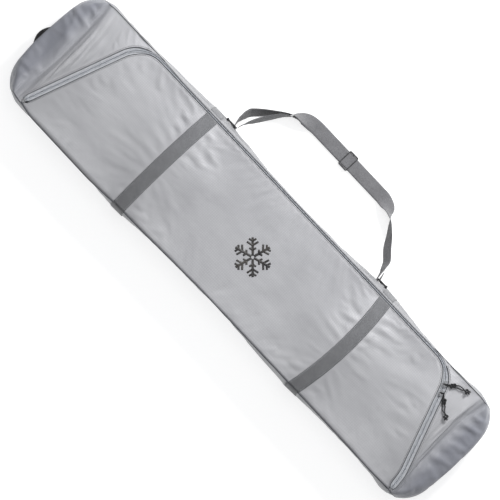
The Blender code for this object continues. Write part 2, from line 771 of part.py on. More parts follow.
def strap_stations():
    """The strap from the head ring, where it turns round the free bar, to the foot ring."""
    ring = ring_places()
    head = ring["head"][1]
    foot = ring["foot"][1]
    return [
        (head + 0.0040, 0.1868, WAIST_Z, -90),
        *round_bar(head, (20, -30, -80, -120, -160)),
        (head - 0.0056, 0.1900, WAIST_Z, -90),
        (head - 0.0076, 0.1980, WAIST_Z - 0.0022, -92),
        (head - 0.0088, 0.2080, 0.0575, -97),
        (head - 0.0065, 0.2250, 0.0460, -108),
        (head + 0.0010, 0.2420, 0.0335, -115),
        on_floor(-0.225, 0.2640, -114, 0.0015),
        on_floor(-0.200, 0.2890, -103),
        on_floor(-0.172, 0.3130, -88),
        on_floor(-0.150, 0.3260, -50),
        on_floor(-0.128, 0.3340, -18),
        on_floor(-0.108, STRAP_Y - 0.0006, 0),
        on_floor(-0.070, STRAP_Y, 0),
        on_floor(-0.020, STRAP_Y, 0),
        on_floor(0.030, STRAP_Y, 0),
        on_floor(0.080, STRAP_Y, 0),
        on_floor(0.135, STRAP_Y, 0),
        on_floor(0.158, 0.3340, -18),
        on_floor(0.178, 0.3265, -52),
        on_floor(0.196, 0.3120, -88),
        on_floor(0.220, 0.2860, -106),
        on_floor(0.243, 0.2560, -116, 0.008),
        (foot - 0.0170, 0.2310, 0.0430, -112),
        (foot - 0.0085, 0.2100, 0.0565, -98),
        (foot - 0.0056, 0.1960, WAIST_Z - 0.0015, -91),
        (foot - 0.0042, 0.1880, WAIST_Z, -90),
        *round_bar(foot, (200, 240, 280, 320, 360)),
        (foot + 0.0032, 0.1880, WAIST_Z, -90),
        (foot + 0.0010, 0.1950, WAIST_Z - 0.0008, -90),
        (foot - 0.0008, 0.2010, WAIST_Z - 0.0025, -92),
    ]


def round_bar(x, degrees):
    """Stations on a turn of webbing round a ring's upright bar."""
    reach = RING_WIRE / 2 + WEBBING / 2 + 0.0004
    out = []
    for turn in degrees:
        angle = math.radians(turn)
        out.append((x + reach * math.cos(angle), RING_Y + reach * math.sin(angle), WAIST_Z, -90))
    return out


def return_stations(strap):
    """The layer that comes back from the head ring to the triglide, under the strap."""
    free = ring_places()["head"][1]
    common = []
    for point, _, up, roll in strap[::3]:
        if point.y > RETURN_JOIN_Y and point.x < RETURN_LEVEL_X:
            under = point - up * LAYER_RISE
            common.append((under.x, under.y, under.z, roll))
    low = STRAP_Z - LAYER_RISE
    bar = (TRIGLIDE_Z[0] + TRIGLIDE_BAR_TOP) / 2
    top = TRIGLIDE_BAR_TOP + WEBBING / 2 + 0.0003
    return [
        (free + 0.0062, 0.1935, WAIST_Z - 0.0008, -89),
        (free + 0.0082, 0.2020, WAIST_Z - 0.0035, -86),
        (free + 0.0118, 0.2140, 0.0545, -92),
        (free + 0.0190, 0.2290, 0.0430, -98),
        (free + 0.0300, 0.2480, 0.0300, -104),
        *common,
        (-0.030, STRAP_Y, low, 0),
        (TRIGLIDE_X - 0.008, STRAP_Y, low, 0),
        (TRIGLIDE_X + 0.0008, STRAP_Y, low + 0.0001, 0),
        (TRIGLIDE_X + 0.0028, STRAP_Y, bar, 0),
        (TRIGLIDE_X + 0.0008, STRAP_Y, top, 0),
        (TRIGLIDE_X - 0.010, STRAP_Y, top, 0),
        (TRIGLIDE_X - 0.028, STRAP_Y, top, 0),
    ]


def triglide():
    half_x = TRIGLIDE[0] / 2
    half_y = TRIGLIDE[1] / 2
    corner = 0.004
    outline = []
    for sx, sy, first in ((1, 1, 0), (-1, 1, 90), (-1, -1, 180), (1, -1, 270)):
        for k in range(4):
            angle = math.radians(first + 30 * k)
            outline.append((
                TRIGLIDE_X + sx * (half_x - corner) + corner * math.cos(angle),
                STRAP_Y + sy * (half_y - corner) + corner * math.sin(angle),
            ))
    frame = prism("triglide", outline, *TRIGLIDE_Z, black_plastic())
    slot = TRIGLIDE_SLOT / 2
    window = half_x - TRIGLIDE_RIM
    inside = box(
        "triglide_window_cutter",
        (TRIGLIDE_X - window, STRAP_Y - slot, -0.01), (TRIGLIDE_X + window, STRAP_Y + slot, 0.03),
        black_plastic(),
    )
    under = box(
        "triglide_under_cutter",
        (TRIGLIDE_X - 0.03, STRAP_Y - slot, -0.01), (TRIGLIDE_X + 0.03, STRAP_Y + slot, TRIGLIDE_OUTER_Z),
        black_plastic(),
    )
    bar = box(
        "triglide_bar_part",
        (TRIGLIDE_X - 0.0013, STRAP_Y - slot - 0.0005, TRIGLIDE_Z[0] + 0.0001),
        (TRIGLIDE_X + 0.0013, STRAP_Y + slot + 0.0005, TRIGLIDE_BAR_TOP),
        black_plastic(),
    )
    combine(frame, inside, "DIFFERENCE")
    combine(frame, under, "DIFFERENCE")
    combine(frame, bar, "UNION")
    return frame


def grab_handle():
    """Webbing sewn down at both ends on the head end, and bowed out between them."""
    wall = MIDDLE_X - HALF_LENGTH - 0.0005 - HANDLE_THICK / 2
    low, high = HANDLE_Y
    for name, y0, y1 in (("handle_patch_strap_side", high, high - HANDLE_PATCH),
                         ("handle_patch_hinge_side", low + HANDLE_PATCH, low)):
        stations = [(wall, y0, WAIST_Z, 90), (wall, (y0 + y1) / 2, WAIST_Z, 90), (wall, y1, WAIST_Z, 90)]
        ribbon(name, ribbon_frames(stations, 3), black_cord(), HANDLE_WIDTH, HANDLE_THICK)
    start = high - HANDLE_PATCH - 0.0004
    reach = low + HANDLE_PATCH + 0.0004 - start
    stations = []
    for k in range(11):
        share = k / 10
        rise = HANDLE_RISE * math.sin(math.pi * share) ** 1.3
        stations.append((wall - rise, start + reach * share, WAIST_Z, 90))
    return ribbon("grab_handle", ribbon_frames(stations, 24), black_cord(), HANDLE_WIDTH, HANDLE_THICK)


def hinge_piping(path):
    low = path.points[-1].x + 0.002
    high = path.points[0].x - 0.002
    points = [(low + (high - low) * k / 6, HINGE_Y, FRONT_Z - 0.0006) for k in range(7)]
    return tube("hinge_seam_piping", points, PIPING / 2, black_cord())


def main():
    clear_scene()
    make_gussets()
    back_panel()
    path = ZipPath()
    bend = path.bends[1]
    bend_at = next(path.lengths[i] for i, p in enumerate(path.points) if (p - bend["start"]).length < 1e-6)
    lower_at = bend_at - LOWER_BEFORE_BEND
    upper_turn = UPPER_PAST_BEND / bend["radius"]
    upper_angle = bend["first"] + upper_turn
    upper_place = bend["centre"] + bend["radius"] * Vector((math.cos(upper_angle), math.sin(upper_angle)))
    upper_way = Vector((-math.sin(upper_angle), math.cos(upper_angle)))
    lower_place = bend["start"] - bend["way"] * LOWER_BEFORE_BEND
    notch = (lower_at - NOTCH_REACH, bend_at + UPPER_PAST_BEND + NOTCH_REACH)
    front_panel("front_foot_panel", path, True)
    front_panel("front_head_panel", path, False)
    front_flap(path)
    zip_strips(path, notch)
    zip_stops(path)
    slider("zip_slider_upper", upper_place, upper_way)
    slider("zip_slider_lower", lower_place, bend["way"] * -1)
    cord_pull("pull_cord_upper", upper_place, upper_way, UPPER_PULL_AIM, UPPER_PULL)
    cord_pull("pull_cord_lower", lower_place, bend["way"], LOWER_PULL_AIM, LOWER_PULL)
    make_bands()
    for end, (sewn, free, way) in ring_places().items():
        strap_ring(f"strap_ring_{end}", sewn, free, way)
        ring_tab(f"ring_tab_{end}", sewn, way)
    strap = ribbon_frames(strap_stations(), 150, rise=LAYER_RISE)
    ribbon("shoulder_strap", strap, strap_webbing())
    ribbon("strap_return", ribbon_frames(return_stations(strap), 110, rise=0.0), strap_webbing())
    triglide()
    grab_handle()
    hinge_piping(path)


main()
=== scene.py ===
import math

import bpy
import numpy as np
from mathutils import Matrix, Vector, noise
from mathutils.bvhtree import BVHTree


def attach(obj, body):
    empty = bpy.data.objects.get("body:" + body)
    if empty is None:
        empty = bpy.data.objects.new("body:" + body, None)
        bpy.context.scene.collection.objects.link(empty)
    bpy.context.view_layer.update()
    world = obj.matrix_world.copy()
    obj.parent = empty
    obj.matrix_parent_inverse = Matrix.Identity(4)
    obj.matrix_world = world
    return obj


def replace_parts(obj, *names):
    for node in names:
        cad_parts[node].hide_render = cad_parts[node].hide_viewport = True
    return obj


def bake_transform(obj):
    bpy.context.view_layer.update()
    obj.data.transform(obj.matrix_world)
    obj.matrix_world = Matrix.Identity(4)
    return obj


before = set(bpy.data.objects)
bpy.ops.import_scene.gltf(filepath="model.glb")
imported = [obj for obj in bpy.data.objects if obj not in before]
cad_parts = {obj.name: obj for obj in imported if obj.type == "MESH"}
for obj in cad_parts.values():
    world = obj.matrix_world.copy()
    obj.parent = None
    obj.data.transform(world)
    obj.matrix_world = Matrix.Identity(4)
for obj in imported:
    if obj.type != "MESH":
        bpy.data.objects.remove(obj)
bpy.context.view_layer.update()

# ---- sizes taken from the CAD, in metres ----
FRONT = 0.132                        # height of the front's flat plane
WAIST = 0.064                        # height of the middle of the side profile, where its angle is 0
BACK = 0.0019                        # height of the back's cloth
ZIP_Y = 0.1615                       # the zip's long run beside the strap side
RING_Y = 0.1838                      # the strap rings' upright bars
WEB_WIDTH = 0.038
WEB = 0.0014
HANDLE_WIDTH = 0.025                 # the grab handle is cut from narrower, thicker webbing
HANDLE_THICK = 0.0022
TAPE_THICK = 0.0005                  # the zip's tape

# ---- cloth ----
CLOTH = 0.0012                       # thickness
STEP = 0.006                         # spacing of the flap's mesh
SPARE_CLOTH = 0.003                  # share by which the cloth grows while it settles
SETTLE_FRAMES = 16
CROWN = 0.0085                       # rise of the front's middle above its plane

# ---- the side profile ----
SEAM_SIDE = math.radians(84)         # profile angle of the front seam along the sides
SEAM_END = math.radians(8)           # and at the two ends
ROLL_SIDE = 0.014                    # how far the front rolls over, at the sides
ROLL_END = 0.060                     # and at the ends
UNDER_SIDE = 0.013                   # how far the lower half tucks in, at the sides
UNDER_END = 0.030                    # and at the ends

UP = Vector((0, 0, 1))


# ================================================================ small helpers
def ease(value):
    value = min(max(value, 0.0), 1.0)
    return value * value * (3 - 2 * value)


def lerp(a, b, share):
    return a + (b - a) * share


def smooth_route(points, count):
    """count points on a smooth curve through the given ones, with as many steps between each two."""
    points = [Vector(p) for p in points]
    ends = [points[0] * 2 - points[1]] + points + [points[-1] * 2 - points[-2]]
    spans = len(points) - 1
    out = []
    for n in range(count):
        at = spans * n / (count - 1)
        i = min(int(at), spans - 1)
        t = at - i
        p0, p1, p2, p3 = ends[i:i + 4]
        step = (p2 - p0) * t + (2 * p0 - 5 * p1 + 4 * p2 - p3) * t * t
        step += (3 * p1 - p0 - 3 * p2 + p3) * t ** 3
        out.append(p1 + step / 2)
    return out


def values_at(wanted, along, data):
    """The coordinates at distance wanted along a polyline; along holds the distance of each of its points."""
    return [float(np.interp(wanted, along, column)) for column in data.T]


def point_at(wanted, along, data):
    return Vector(values_at(wanted, along, data))


def spread(points, count):
    """count points at even distances along a polyline."""
    data = np.array([tuple(p) for p in points])
    along = np.concatenate([[0.0], np.cumsum(np.linalg.norm(np.diff(data, axis=0), axis=1))])
    return [point_at(wanted, along, data) for wanted in np.linspace(0.0, along[-1], count)]


def along_line(points):
    total = [0.0]
    for a, b in zip(points, points[1:]):
        total.append(total[-1] + (b - a).length)
    return total


def profile_table(rows):
    """A smooth function through (place, value) rows."""
    xs = [row[0] for row in rows]
    ys = [row[1] for row in rows]
    fine = np.linspace(xs[0], xs[-1], 400)
    values = np.interp(fine, xs, ys)
    kernel = np.hanning(15)
    padded = np.pad(values, 7, mode="edge")
    values = np.convolve(padded, kernel / kernel.sum(), "valid")
    return lambda x: float(np.interp(x, fine, values))


def ripple(x, y, scale, seed):
    return noise.noise(Vector((x * scale, y * scale, seed)))


def make(name, points, faces, material, smooth=True, uv=None):
    mesh = bpy.data.meshes.new(name)
    mesh.from_pydata([tuple(p) for p in points], [], faces)
    mesh.materials.append(material)
    if smooth:
        mesh.shade_smooth()
    if uv is not None:
        layer = mesh.uv_layers.new(name="along")
        for loop in mesh.loops:
            layer.data[loop.index].uv = uv[loop.vertex_index]
    obj = bpy.data.objects.new(name, mesh)
    bpy.context.scene.collection.objects.link(obj)
    return obj


def grid(name, rows, material, uv=None):
    """A sheet of quads through equal rows of points."""
    wide = len(rows[0])
    points = [p for row in rows for p in row]
    faces = []
    for i in range(len(rows) - 1):
        a = i * wide
        b = a + wide
        faces += [(a + k, b + k, b + k + 1, a + k + 1) for k in range(wide - 1)]
    return make(name, points, faces, material, uv=uv)


def thicken(obj, thick, offset=-1.0):
    solid = obj.modifiers.new("cloth thickness", "SOLIDIFY")
    solid.thickness = thick
    solid.offset = offset
    return obj


def tube(name, points, radius, material, closed=False, resolution=3):
    curve = bpy.data.curves.new(name, "CURVE")
    curve.dimensions = "3D"
    curve.bevel_depth = radius
    curve.bevel_resolution = resolution
    curve.use_fill_caps = True
    spline = curve.splines.new("POLY")
    spline.points.add(len(points) - 1)
    for slot, point in zip(spline.points, points):
        slot.co = (*point, 1.0)
    spline.use_cyclic_u = closed
    curve.materials.append(material)
    obj = bpy.data.objects.new(name, curve)
    bpy.context.scene.collection.objects.link(obj)
    return obj


def as_mesh(obj):
    """The object with its curve or modifiers turned into a plain mesh."""
    bpy.context.view_layer.update()
    done = bpy.data.meshes.new_from_object(obj.evaluated_get(bpy.context.evaluated_depsgraph_get()))
    made = bpy.data.objects.new(obj.name, done)
    name = obj.name
    bpy.data.objects.remove(obj)
    made.name = name
    bpy.context.scene.collection.objects.link(made)
    made.data.shade_smooth()
    return made


def cloth_sheet(name, rows, material, thick, offset=-1.0, uv=None):
    """A sheet with thickness through equal rows of points, as a plain mesh."""
    return as_mesh(thicken(grid(name, rows, material, uv), thick, offset))


def on_bag(obj, slot=None):
    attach(obj, "bag")
    return obj


def on_flap(obj, slot=None):
    """Turns the piece into a plain mesh and bakes its transform into it."""
    if obj.type != "MESH" or obj.modifiers:
        obj = as_mesh(obj)
    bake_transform(obj)
    return obj


# ================================================================ materials
class Shader:
    """A material's node tree, with the few steps that the materials here are built from."""

    def __init__(self, name, roughness=0.5, metallic=0.0):
        self.material = bpy.data.materials.new(name)
        self.material.use_nodes = True
        self.tree = self.material.node_tree
        self.bsdf = self.tree.nodes["Principled BSDF"]
        self.bsdf.inputs["Roughness"].default_value = roughness
        self.bsdf.inputs["Metallic"].default_value = metallic
        self.place = self.node("ShaderNodeTexCoord").outputs["Object"]
        self.uv = self.node("ShaderNodeTexCoord").outputs["UV"]

    def node(self, kind, **settings):
        made = self.tree.nodes.new(kind)
        for key, value in settings.items():
            setattr(made, key, value)
        return made

    def link(self, source, target):
        self.tree.links.new(source, target)

    def math(self, operation, a, b=0.0, c=0.0):
        made = self.node("ShaderNodeMath", operation=operation)
        for slot, value in zip(made.inputs, (a, b, c)):
            if isinstance(value, (int, float)):
                slot.default_value = value
            else:
                self.link(value, slot)
        return made.outputs[0]

    def axes(self, source):
        made = self.node("ShaderNodeSeparateXYZ")
        self.link(source, made.inputs[0])
        return made.outputs

    def noise(self, scale, detail=3.0, roughness=0.5, source=None, stretch=(1, 1, 1)):
        mapping = self.node("ShaderNodeMapping")
        mapping.inputs["Scale"].default_value = stretch
        self.link(source or self.place, mapping.inputs[0])
        made = self.node("ShaderNodeTexNoise")
        made.inputs["Scale"].default_value = scale
        made.inputs["Detail"].default_value = detail
        made.inputs["Roughness"].default_value = roughness
        self.link(mapping.outputs[0], made.inputs[0])
        return made.outputs[0]

    def wave(self, coordinate, pitch, shift=0.0):
        """A smooth 0 to 1 wave of the given pitch along a coordinate."""
        turned = self.math("MULTIPLY_ADD", coordinate, 2 * math.pi / pitch, shift)
        return self.math("MULTIPLY_ADD", self.math("SINE", turned), 0.5, 0.5)

    def ramp(self, source, *stops):
        made = self.node("ShaderNodeValToRGB")
        while len(made.color_ramp.elements) < len(stops):
            made.color_ramp.elements.new(0.5)
        for element, (at, colour) in zip(made.color_ramp.elements, stops):
            element.position = at
            element.color = (*colour, 1.0) if hasattr(colour, "__len__") else (colour, colour, colour, 1.0)
        self.link(source, made.inputs[0])
        return made.outputs[0]

    def mix(self, share, a, b, mode="MIX"):
        made = self.node("ShaderNodeMix", data_type="RGBA", blend_type=mode)
        for slot, value in ((made.inputs[0], share), (made.inputs[6], a), (made.inputs[7], b)):
            if isinstance(value, (int, float)):
                slot.default_value = value
            elif isinstance(value, tuple):
                slot.default_value = (*value, 1.0)
            else:
                self.link(value, slot)
        return made.outputs[2]

    def colour(self, source):
        self.link(source, self.bsdf.inputs["Base Color"])

    def roughness(self, source):
        self.link(source, self.bsdf.inputs["Roughness"])

    def bump(self, height, distance, strength=1.0):
        made = self.node("ShaderNodeBump")
        made.inputs["Strength"].default_value = strength
        made.inputs["Distance"].default_value = distance
        self.link(height, made.inputs["Height"])
        before = self.bsdf.inputs["Normal"].links
        if before:
            self.link(before[0].from_socket, made.inputs["Normal"])
        self.link(made.outputs[0], self.bsdf.inputs["Normal"])

    def sheen(self, weight, roughness=0.4):
        self.bsdf.inputs["Sheen Weight"].default_value = weight
        self.bsdf.inputs["Sheen Roughness"].default_value = roughness


def shell_fabric(name, dark, light):
    """Coated nylon in a fine ribbed weave. The tone drifts a little from place to place. Painted light and
    shade are mixed into the colour: painted shade over the rolled ends, and a painted light-to-shade gradient
    across the width.
    """
    s = Shader(name, 0.46)
    x, y, z = s.axes(s.place)
    up = s.math("ADD", y, z)
    rib = s.wave(s.math("ADD", x, s.math("MULTIPLY", s.noise(3.0, 1.0), 0.004)), 0.0024)
    weft = s.wave(up, 0.0011)
    grain = s.noise(900, 2.0)
    cloud = s.noise(5.5, 4.0, 0.55)
    streak = s.noise(34, 3.0, 0.5, stretch=(0.35, 1.0, 1.0))
    tone = s.ramp(cloud, (0.30, dark), (0.70, light))
    tone = s.mix(0.10, tone, s.ramp(streak, (0.35, 0.30), (0.65, 0.72)))
    tone = s.mix(0.11, tone, s.ramp(rib, (0.0, 0.05), (1.0, 0.80)))
    # painted shade: towards the two ends the colour turns a dark bluish grey, broken up by the streak noise
    # like folds, where the cloth rolls away from the light
    reach = s.math("ABSOLUTE", s.math("SUBTRACT", x, 0.0035))
    ends = s.math("MULTIPLY", s.ramp(s.math("MULTIPLY_ADD", reach, 16.0, -10.5), (0.0, 0.0), (0.9, 0.95)),
                  s.ramp(streak, (0.25, 0.84), (0.6, 1.0)))
    tone = s.mix(ends, tone, (0.215, 0.224, 0.262))
    # painted light and shade: a multiplier across the width, darker towards the hinge side, brightest near the
    # strap side's zip, and painted shade again over the strap side's gusset
    across = s.math("MULTIPLY_ADD", y, 2.5, 0.5)
    across = s.ramp(across, (0.0, 0.68), (0.45, 0.755), (0.90, 1.03), (0.93, 0.56))
    tone = s.mix(1.0, tone, across, "MULTIPLY")
    tone = s.mix(0.05, tone, s.ramp(grain, (0.3, 0.1), (0.7, 0.9)))
    threads = [s.math("POWER", s.wave(way, 0.0052), 7.0) for way in (x, up)]
    ripstop = s.math("MAXIMUM", *threads)
    tone = s.mix(s.math("MULTIPLY", ripstop, 0.24), tone, (0.16, 0.165, 0.185))
    s.colour(tone)
    s.roughness(s.ramp(streak, (0.3, 0.40), (0.7, 0.52)))
    s.bump(s.noise(60, 3.0, 0.55), 0.0006, 0.5)
    s.bump(s.math("MULTIPLY", rib, weft), 0.00022, 0.55)
    s.sheen(0.18)
    s.bsdf.inputs["Specular IOR Level"].default_value = 0.42
    return s.material


def lining_fabric():
    """The coated inner side of the cloth: smoother, and a shade darker."""
    s = Shader("coated_lining", 0.38)
    x, y, z = s.axes(s.place)
    rib = s.wave(x, 0.0024)
    crease = s.noise(26, 5.0, 0.6)
    tone = s.ramp(crease, (0.3, (0.20, 0.205, 0.215)), (0.7, (0.29, 0.295, 0.305)))
    s.colour(s.mix(0.10, tone, s.ramp(rib, (0.0, 0.1), (1.0, 0.6))))
    s.bump(crease, 0.0012, 0.5)
    s.bump(rib, 0.0002, 0.4)
    return s.material


def webbing(name, dark, light, rib_pitch=0.0024, edge=0.5, shade=1.0, fuzzy=0.25, grain=420):
    """Flat woven webbing. Its UV runs in metres, along and then across."""
    s = Shader(name, 0.72)
    u, v, _ = s.axes(s.uv)
    rib = s.wave(u, rib_pitch)
    warp = s.wave(v, 0.0021)
    over = s.math("ABSOLUTE", s.math("SUBTRACT", rib, warp))
    fuzz = s.noise(700, 3.0, 0.6, s.uv)
    wear = s.noise(40, 4.0, 0.6, s.uv)
    speckle = s.noise(grain, 1.0, 0.5, s.uv, (1.0, 1.6, 1.0))
    tone = s.ramp(over, (0.1, dark), (0.9, light))
    tone = s.mix(0.45, tone, s.ramp(speckle, (0.36, dark), (0.64, light)))
    tone = s.mix(0.22, tone, s.ramp(wear, (0.35, dark), (0.68, light)))
    rim = s.math("ABSOLUTE", s.math("DIVIDE", v, WEB_WIDTH / 2))
    tone = s.mix(s.ramp(rim, (0.86, 0.0), (0.93, edge)), tone, dark)
    tone = s.mix(0.10, tone, s.ramp(fuzz, (0.3, dark), (0.7, light)))
    # painted light and shade: with shade below 1 the colour darkens towards the hinge side and brightens a
    # little towards the strap side, as the light falls across the bag
    if shade < 1:
        side = s.axes(s.place)[1]
        fall = s.math("MULTIPLY_ADD", side, 3.0, 0.5)
        fall = s.ramp(fall, (0.0, shade), (0.5, (1 + shade) / 2), (1.0, 1.1))
        tone = s.mix(1.0, tone, fall, "MULTIPLY")
    s.colour(tone)
    s.bump(over, 0.0005, 0.75)
    s.bump(fuzz, 0.0002, 0.5)
    s.sheen(fuzzy, 0.6)
    s.bsdf.inputs["Specular IOR Level"].default_value = min(2 * fuzzy, 0.5)
    return s.material


def tape_fabric():
    """Herringbone zip tape."""
    s = Shader("zip_tape_weave", 0.6)
    x, y, z = s.axes(s.place)
    slant = s.wave(s.math("ADD", x, s.math("MULTIPLY", y, 1.6)), 0.0016)
    mottle = s.noise(160, 3.0)
    tone = s.ramp(mottle, (0.3, (0.37, 0.38, 0.40)), (0.7, (0.47, 0.48, 0.50)))
    s.colour(s.mix(0.20, tone, s.ramp(slant, (0.0, (0.24, 0.26, 0.29)), (1.0, (0.56, 0.58, 0.61)))))
    s.bump(slant, 0.0003, 0.7)
    return s.material


def cord_fabric(name, dark, light, scale=1.0):
    """Braided cord or dark thread."""
    s = Shader(name, 0.7)
    x, y, z = s.axes(s.place)
    a = s.wave(s.math("ADD", s.math("ADD", x, y), z), 0.0016 * scale)
    b = s.wave(s.math("ADD", s.math("SUBTRACT", x, y), z), 0.0016 * scale, 1.3)
    braid = s.math("MAXIMUM", a, b)
    fuzz = s.noise(1200, 2.0)
    tone = s.ramp(braid, (0.35, dark), (1.0, light))
    s.colour(s.mix(0.2, tone, s.ramp(fuzz, (0.4, dark), (0.7, light))))
    s.bump(braid, 0.0004, 0.7)
    s.sheen(0.06, 0.5)
    return s.material


def moulded_plastic():
    s = Shader("black_acetal", 0.38)
    grain = s.noise(520, 3.0, 0.6)
    rub = s.noise(90, 4.0, 0.6)
    s.colour(s.ramp(rub, (0.35, (0.008, 0.008, 0.010)), (0.75, (0.028, 0.028, 0.032))))
    s.roughness(s.ramp(grain, (0.3, 0.30), (0.7, 0.52)))
    s.bump(grain, 0.00012, 0.6)
    return s.material


def slider_metal():
    s = Shader("plated_zinc", 0.3, 1.0)
    rub = s.noise(420, 4.0, 0.6)
    brushed = s.noise(900, 2.0, 0.5, stretch=(1.0, 0.12, 1.0))
    s.colour(s.ramp(rub, (0.3, (0.20, 0.205, 0.215)), (0.7, (0.40, 0.405, 0.42))))
    s.roughness(s.ramp(brushed, (0.3, 0.36), (0.7, 0.58)))
    s.bump(brushed, 0.00008, 0.6)
    return s.material


def coil_nylon():
    s = Shader("nylon_coil", 0.36)
    tint = s.noise(300, 2.0)
    s.colour(s.ramp(tint, (0.3, (0.44, 0.46, 0.50)), (0.7, (0.62, 0.64, 0.68))))
    s.bump(tint, 0.0001, 0.5)
    return s.material


def print_ink():
    """Screen-printed ink, with a soft sheen that shows the weave under it."""
    s = Shader("print_ink", 0.42)
    x, y, z = s.axes(s.place)
    rib = s.wave(x, 0.0017)
    cloud = s.noise(28, 3.0, 0.5)
    s.colour(s.ramp(cloud, (0.38, (0.010, 0.010, 0.011)), (0.72, (0.055, 0.050, 0.044))))
    s.roughness(s.ramp(cloud, (0.3, 0.55), (0.7, 0.36)))
    s.bump(rib, 0.00016, 0.5)
    return s.material


def floor_paint():
    s = Shader("studio_floor", 0.9)
    s.colour(s.ramp(s.noise(1.2, 2.0), (0.3, 0.50), (0.7, 0.52)))
    s.bsdf.inputs["Emission Color"].default_value = (1.0, 1.0, 1.0, 1.0)
    s.bsdf.inputs["Emission Strength"].default_value = 0.68
    return s.material


FABRIC = shell_fabric("shell_fabric", (0.402, 0.403, 0.426), (0.490, 0.491, 0.513))
# painted shade: the gussets, the back and the small side pieces get a darker copy of the same shell cloth
SIDE_PAINTED_SHADE_FABRIC = shell_fabric("gusset_fabric_painted_shade", (0.365, 0.369, 0.390), (0.450, 0.454, 0.473))
# painted shade: the end gussets get a still darker, bluish copy of the same cloth, where they roll away from
# the light
END_PAINTED_SHADE_FABRIC = shell_fabric("end_fabric_painted_shade", (0.300, 0.312, 0.348), (0.385, 0.396, 0.426))
LINING = lining_fabric()
# painted shade: the bands pass shade 0.62, so their colour darkens towards the hinge side
BAND = webbing("band_webbing", (0.088, 0.090, 0.097), (0.225, 0.228, 0.238), 0.0030, 0.15, 0.62, 0.25, 230)
STRAP = webbing("strap_webbing", (0.080, 0.080, 0.086), (0.215, 0.215, 0.224), 0.0026, 0.35, 1.0, 0.20, 260)
# painted shade: the strap's inner face is a darker copy of the same webbing, standing for the shade on the
# inside of its loops and twists
STRAP_INNER_SHADED = webbing("strap_inner_webbing_painted_shade", (0.060, 0.060, 0.065), (0.105, 0.105, 0.112), 0.0020, 0.5)
HANDLE = webbing("handle_webbing", (0.004, 0.004, 0.005), (0.013, 0.013, 0.015), 0.0026, 0.3, 1.0, 0.03)
TAPE = tape_fabric()
COIL = coil_nylon()
THREAD = cord_fabric("dark_thread", (0.014, 0.017, 0.022), (0.048, 0.053, 0.062), 0.7)
PALE_THREAD = cord_fabric("pale_thread", (0.36, 0.37, 0.39), (0.52, 0.53, 0.55), 0.7)
PIPING = cord_fabric("seam_piping", (0.022, 0.025, 0.031), (0.070, 0.075, 0.086), 1.2)
CORD = cord_fabric("pull_cord", (0.003, 0.003, 0.004), (0.018, 0.018, 0.020), 1.0)
PLASTIC = moulded_plastic()
METAL = slider_metal()
INK = print_ink()


# ================================================================ camera, floor and light
def set_up_view():
    camera = bpy.data.cameras.new("camera")
    camera.lens = 150
    camera.sensor_width = 36
    camera.clip_end = 30
    eye = bpy.data.objects.new("camera", camera)
    eye.location = (0.006, -0.0025, 5.35)
    eye.rotation_euler = (0, 0, math.radians(46.7))
    bpy.context.scene.collection.objects.link(eye)
    bpy.context.scene.camera = eye
    bpy.context.scene.view_settings.view_transform = "Standard"
    corners = [(-9, -9, 0), (9, -9, 0), (9, 9, 0), (-9, 9, 0)]
    floor = make("floor", corners, [(0, 1, 2, 3)], floor_paint(), False)
    floor.location.z = -0.0002


def area_light(name, place, size, power, aim=(0, 0, 0.05)):
    light = bpy.data.lights.new(name, "AREA")
    light.shape = "DISK"
    light.size = size
    light.energy = power
    lamp = bpy.data.objects.new(name, light)
    lamp.location = place
    lamp.rotation_euler = (Vector(aim) - Vector(place)).to_track_quat("-Z", "Y").to_euler()
    bpy.context.scene.collection.objects.link(lamp)


def light_the_set():
    world = bpy.data.worlds.new("studio")
    world.use_nodes = True
    world.node_tree.nodes["Background"].inputs["Color"].default_value = (0.97, 0.98, 1.0, 1.0)
    world.node_tree.nodes["Background"].inputs["Strength"].default_value = 0.46
    bpy.context.scene.world = world
    area_light("key", (0.0, 2.0, 1.75), 0.7, 72)
    area_light("top", (-0.2, 0.6, 4.4), 2.4, 34)


# ================================================================ the shell's shape
MIDDLE_X = 0.0035
HALF_LENGTH = 0.751
HALF_WIDTH = 0.1785
CORNER = 0.090
BANDS = {"head": -0.299, "foot": 0.336}
BOW = {"head": (-0.299, -0.0035), "foot": (0.3290, 0.0150)}

STRAP_OUT = profile_table((
    (-0.70, 0.0), (-0.62, 0.001), (-0.54, 0.001), (-0.42, 0.0012), (-0.34, 0.0030), (-0.30, 0.0040),
    (-0.18, 0.0030), (-0.10, -0.001), (0.0, -0.0048), (0.10, -0.0020), (0.20, -0.0010), (0.26, 0.0025),
    (0.30, 0.0040), (0.38, 0.001), (0.46, -0.0040), (0.54, -0.0025), (0.62, -0.0010), (0.70, 0.0),
))
HINGE_OUT = profile_table((
    (-0.70, 0.0), (-0.64, 0.0045), (-0.38, 0.0045), (-0.30, 0.0015), (-0.22, -0.0020), (-0.12, -0.0045),
    (0.0, -0.0040), (0.10, -0.0075), (0.20, -0.0055), (0.30, -0.0045), (0.36, -0.0075), (0.54, -0.0070),
    (0.62, -0.0015), (0.70, 0.0),
))
HINGE_SEAM = profile_table((
    (-0.70, -0.1605), (-0.655, -0.1655), (-0.62, -0.1740), (-0.40, -0.1755), (-0.34, -0.1715),
    (-0.30, -0.1680), (-0.22, -0.1672), (-0.12, -0.1640), (-0.02, -0.1600), (0.30, -0.1600),
    (0.46, -0.1608), (0.62, -0.1625), (0.70, -0.1602),
))


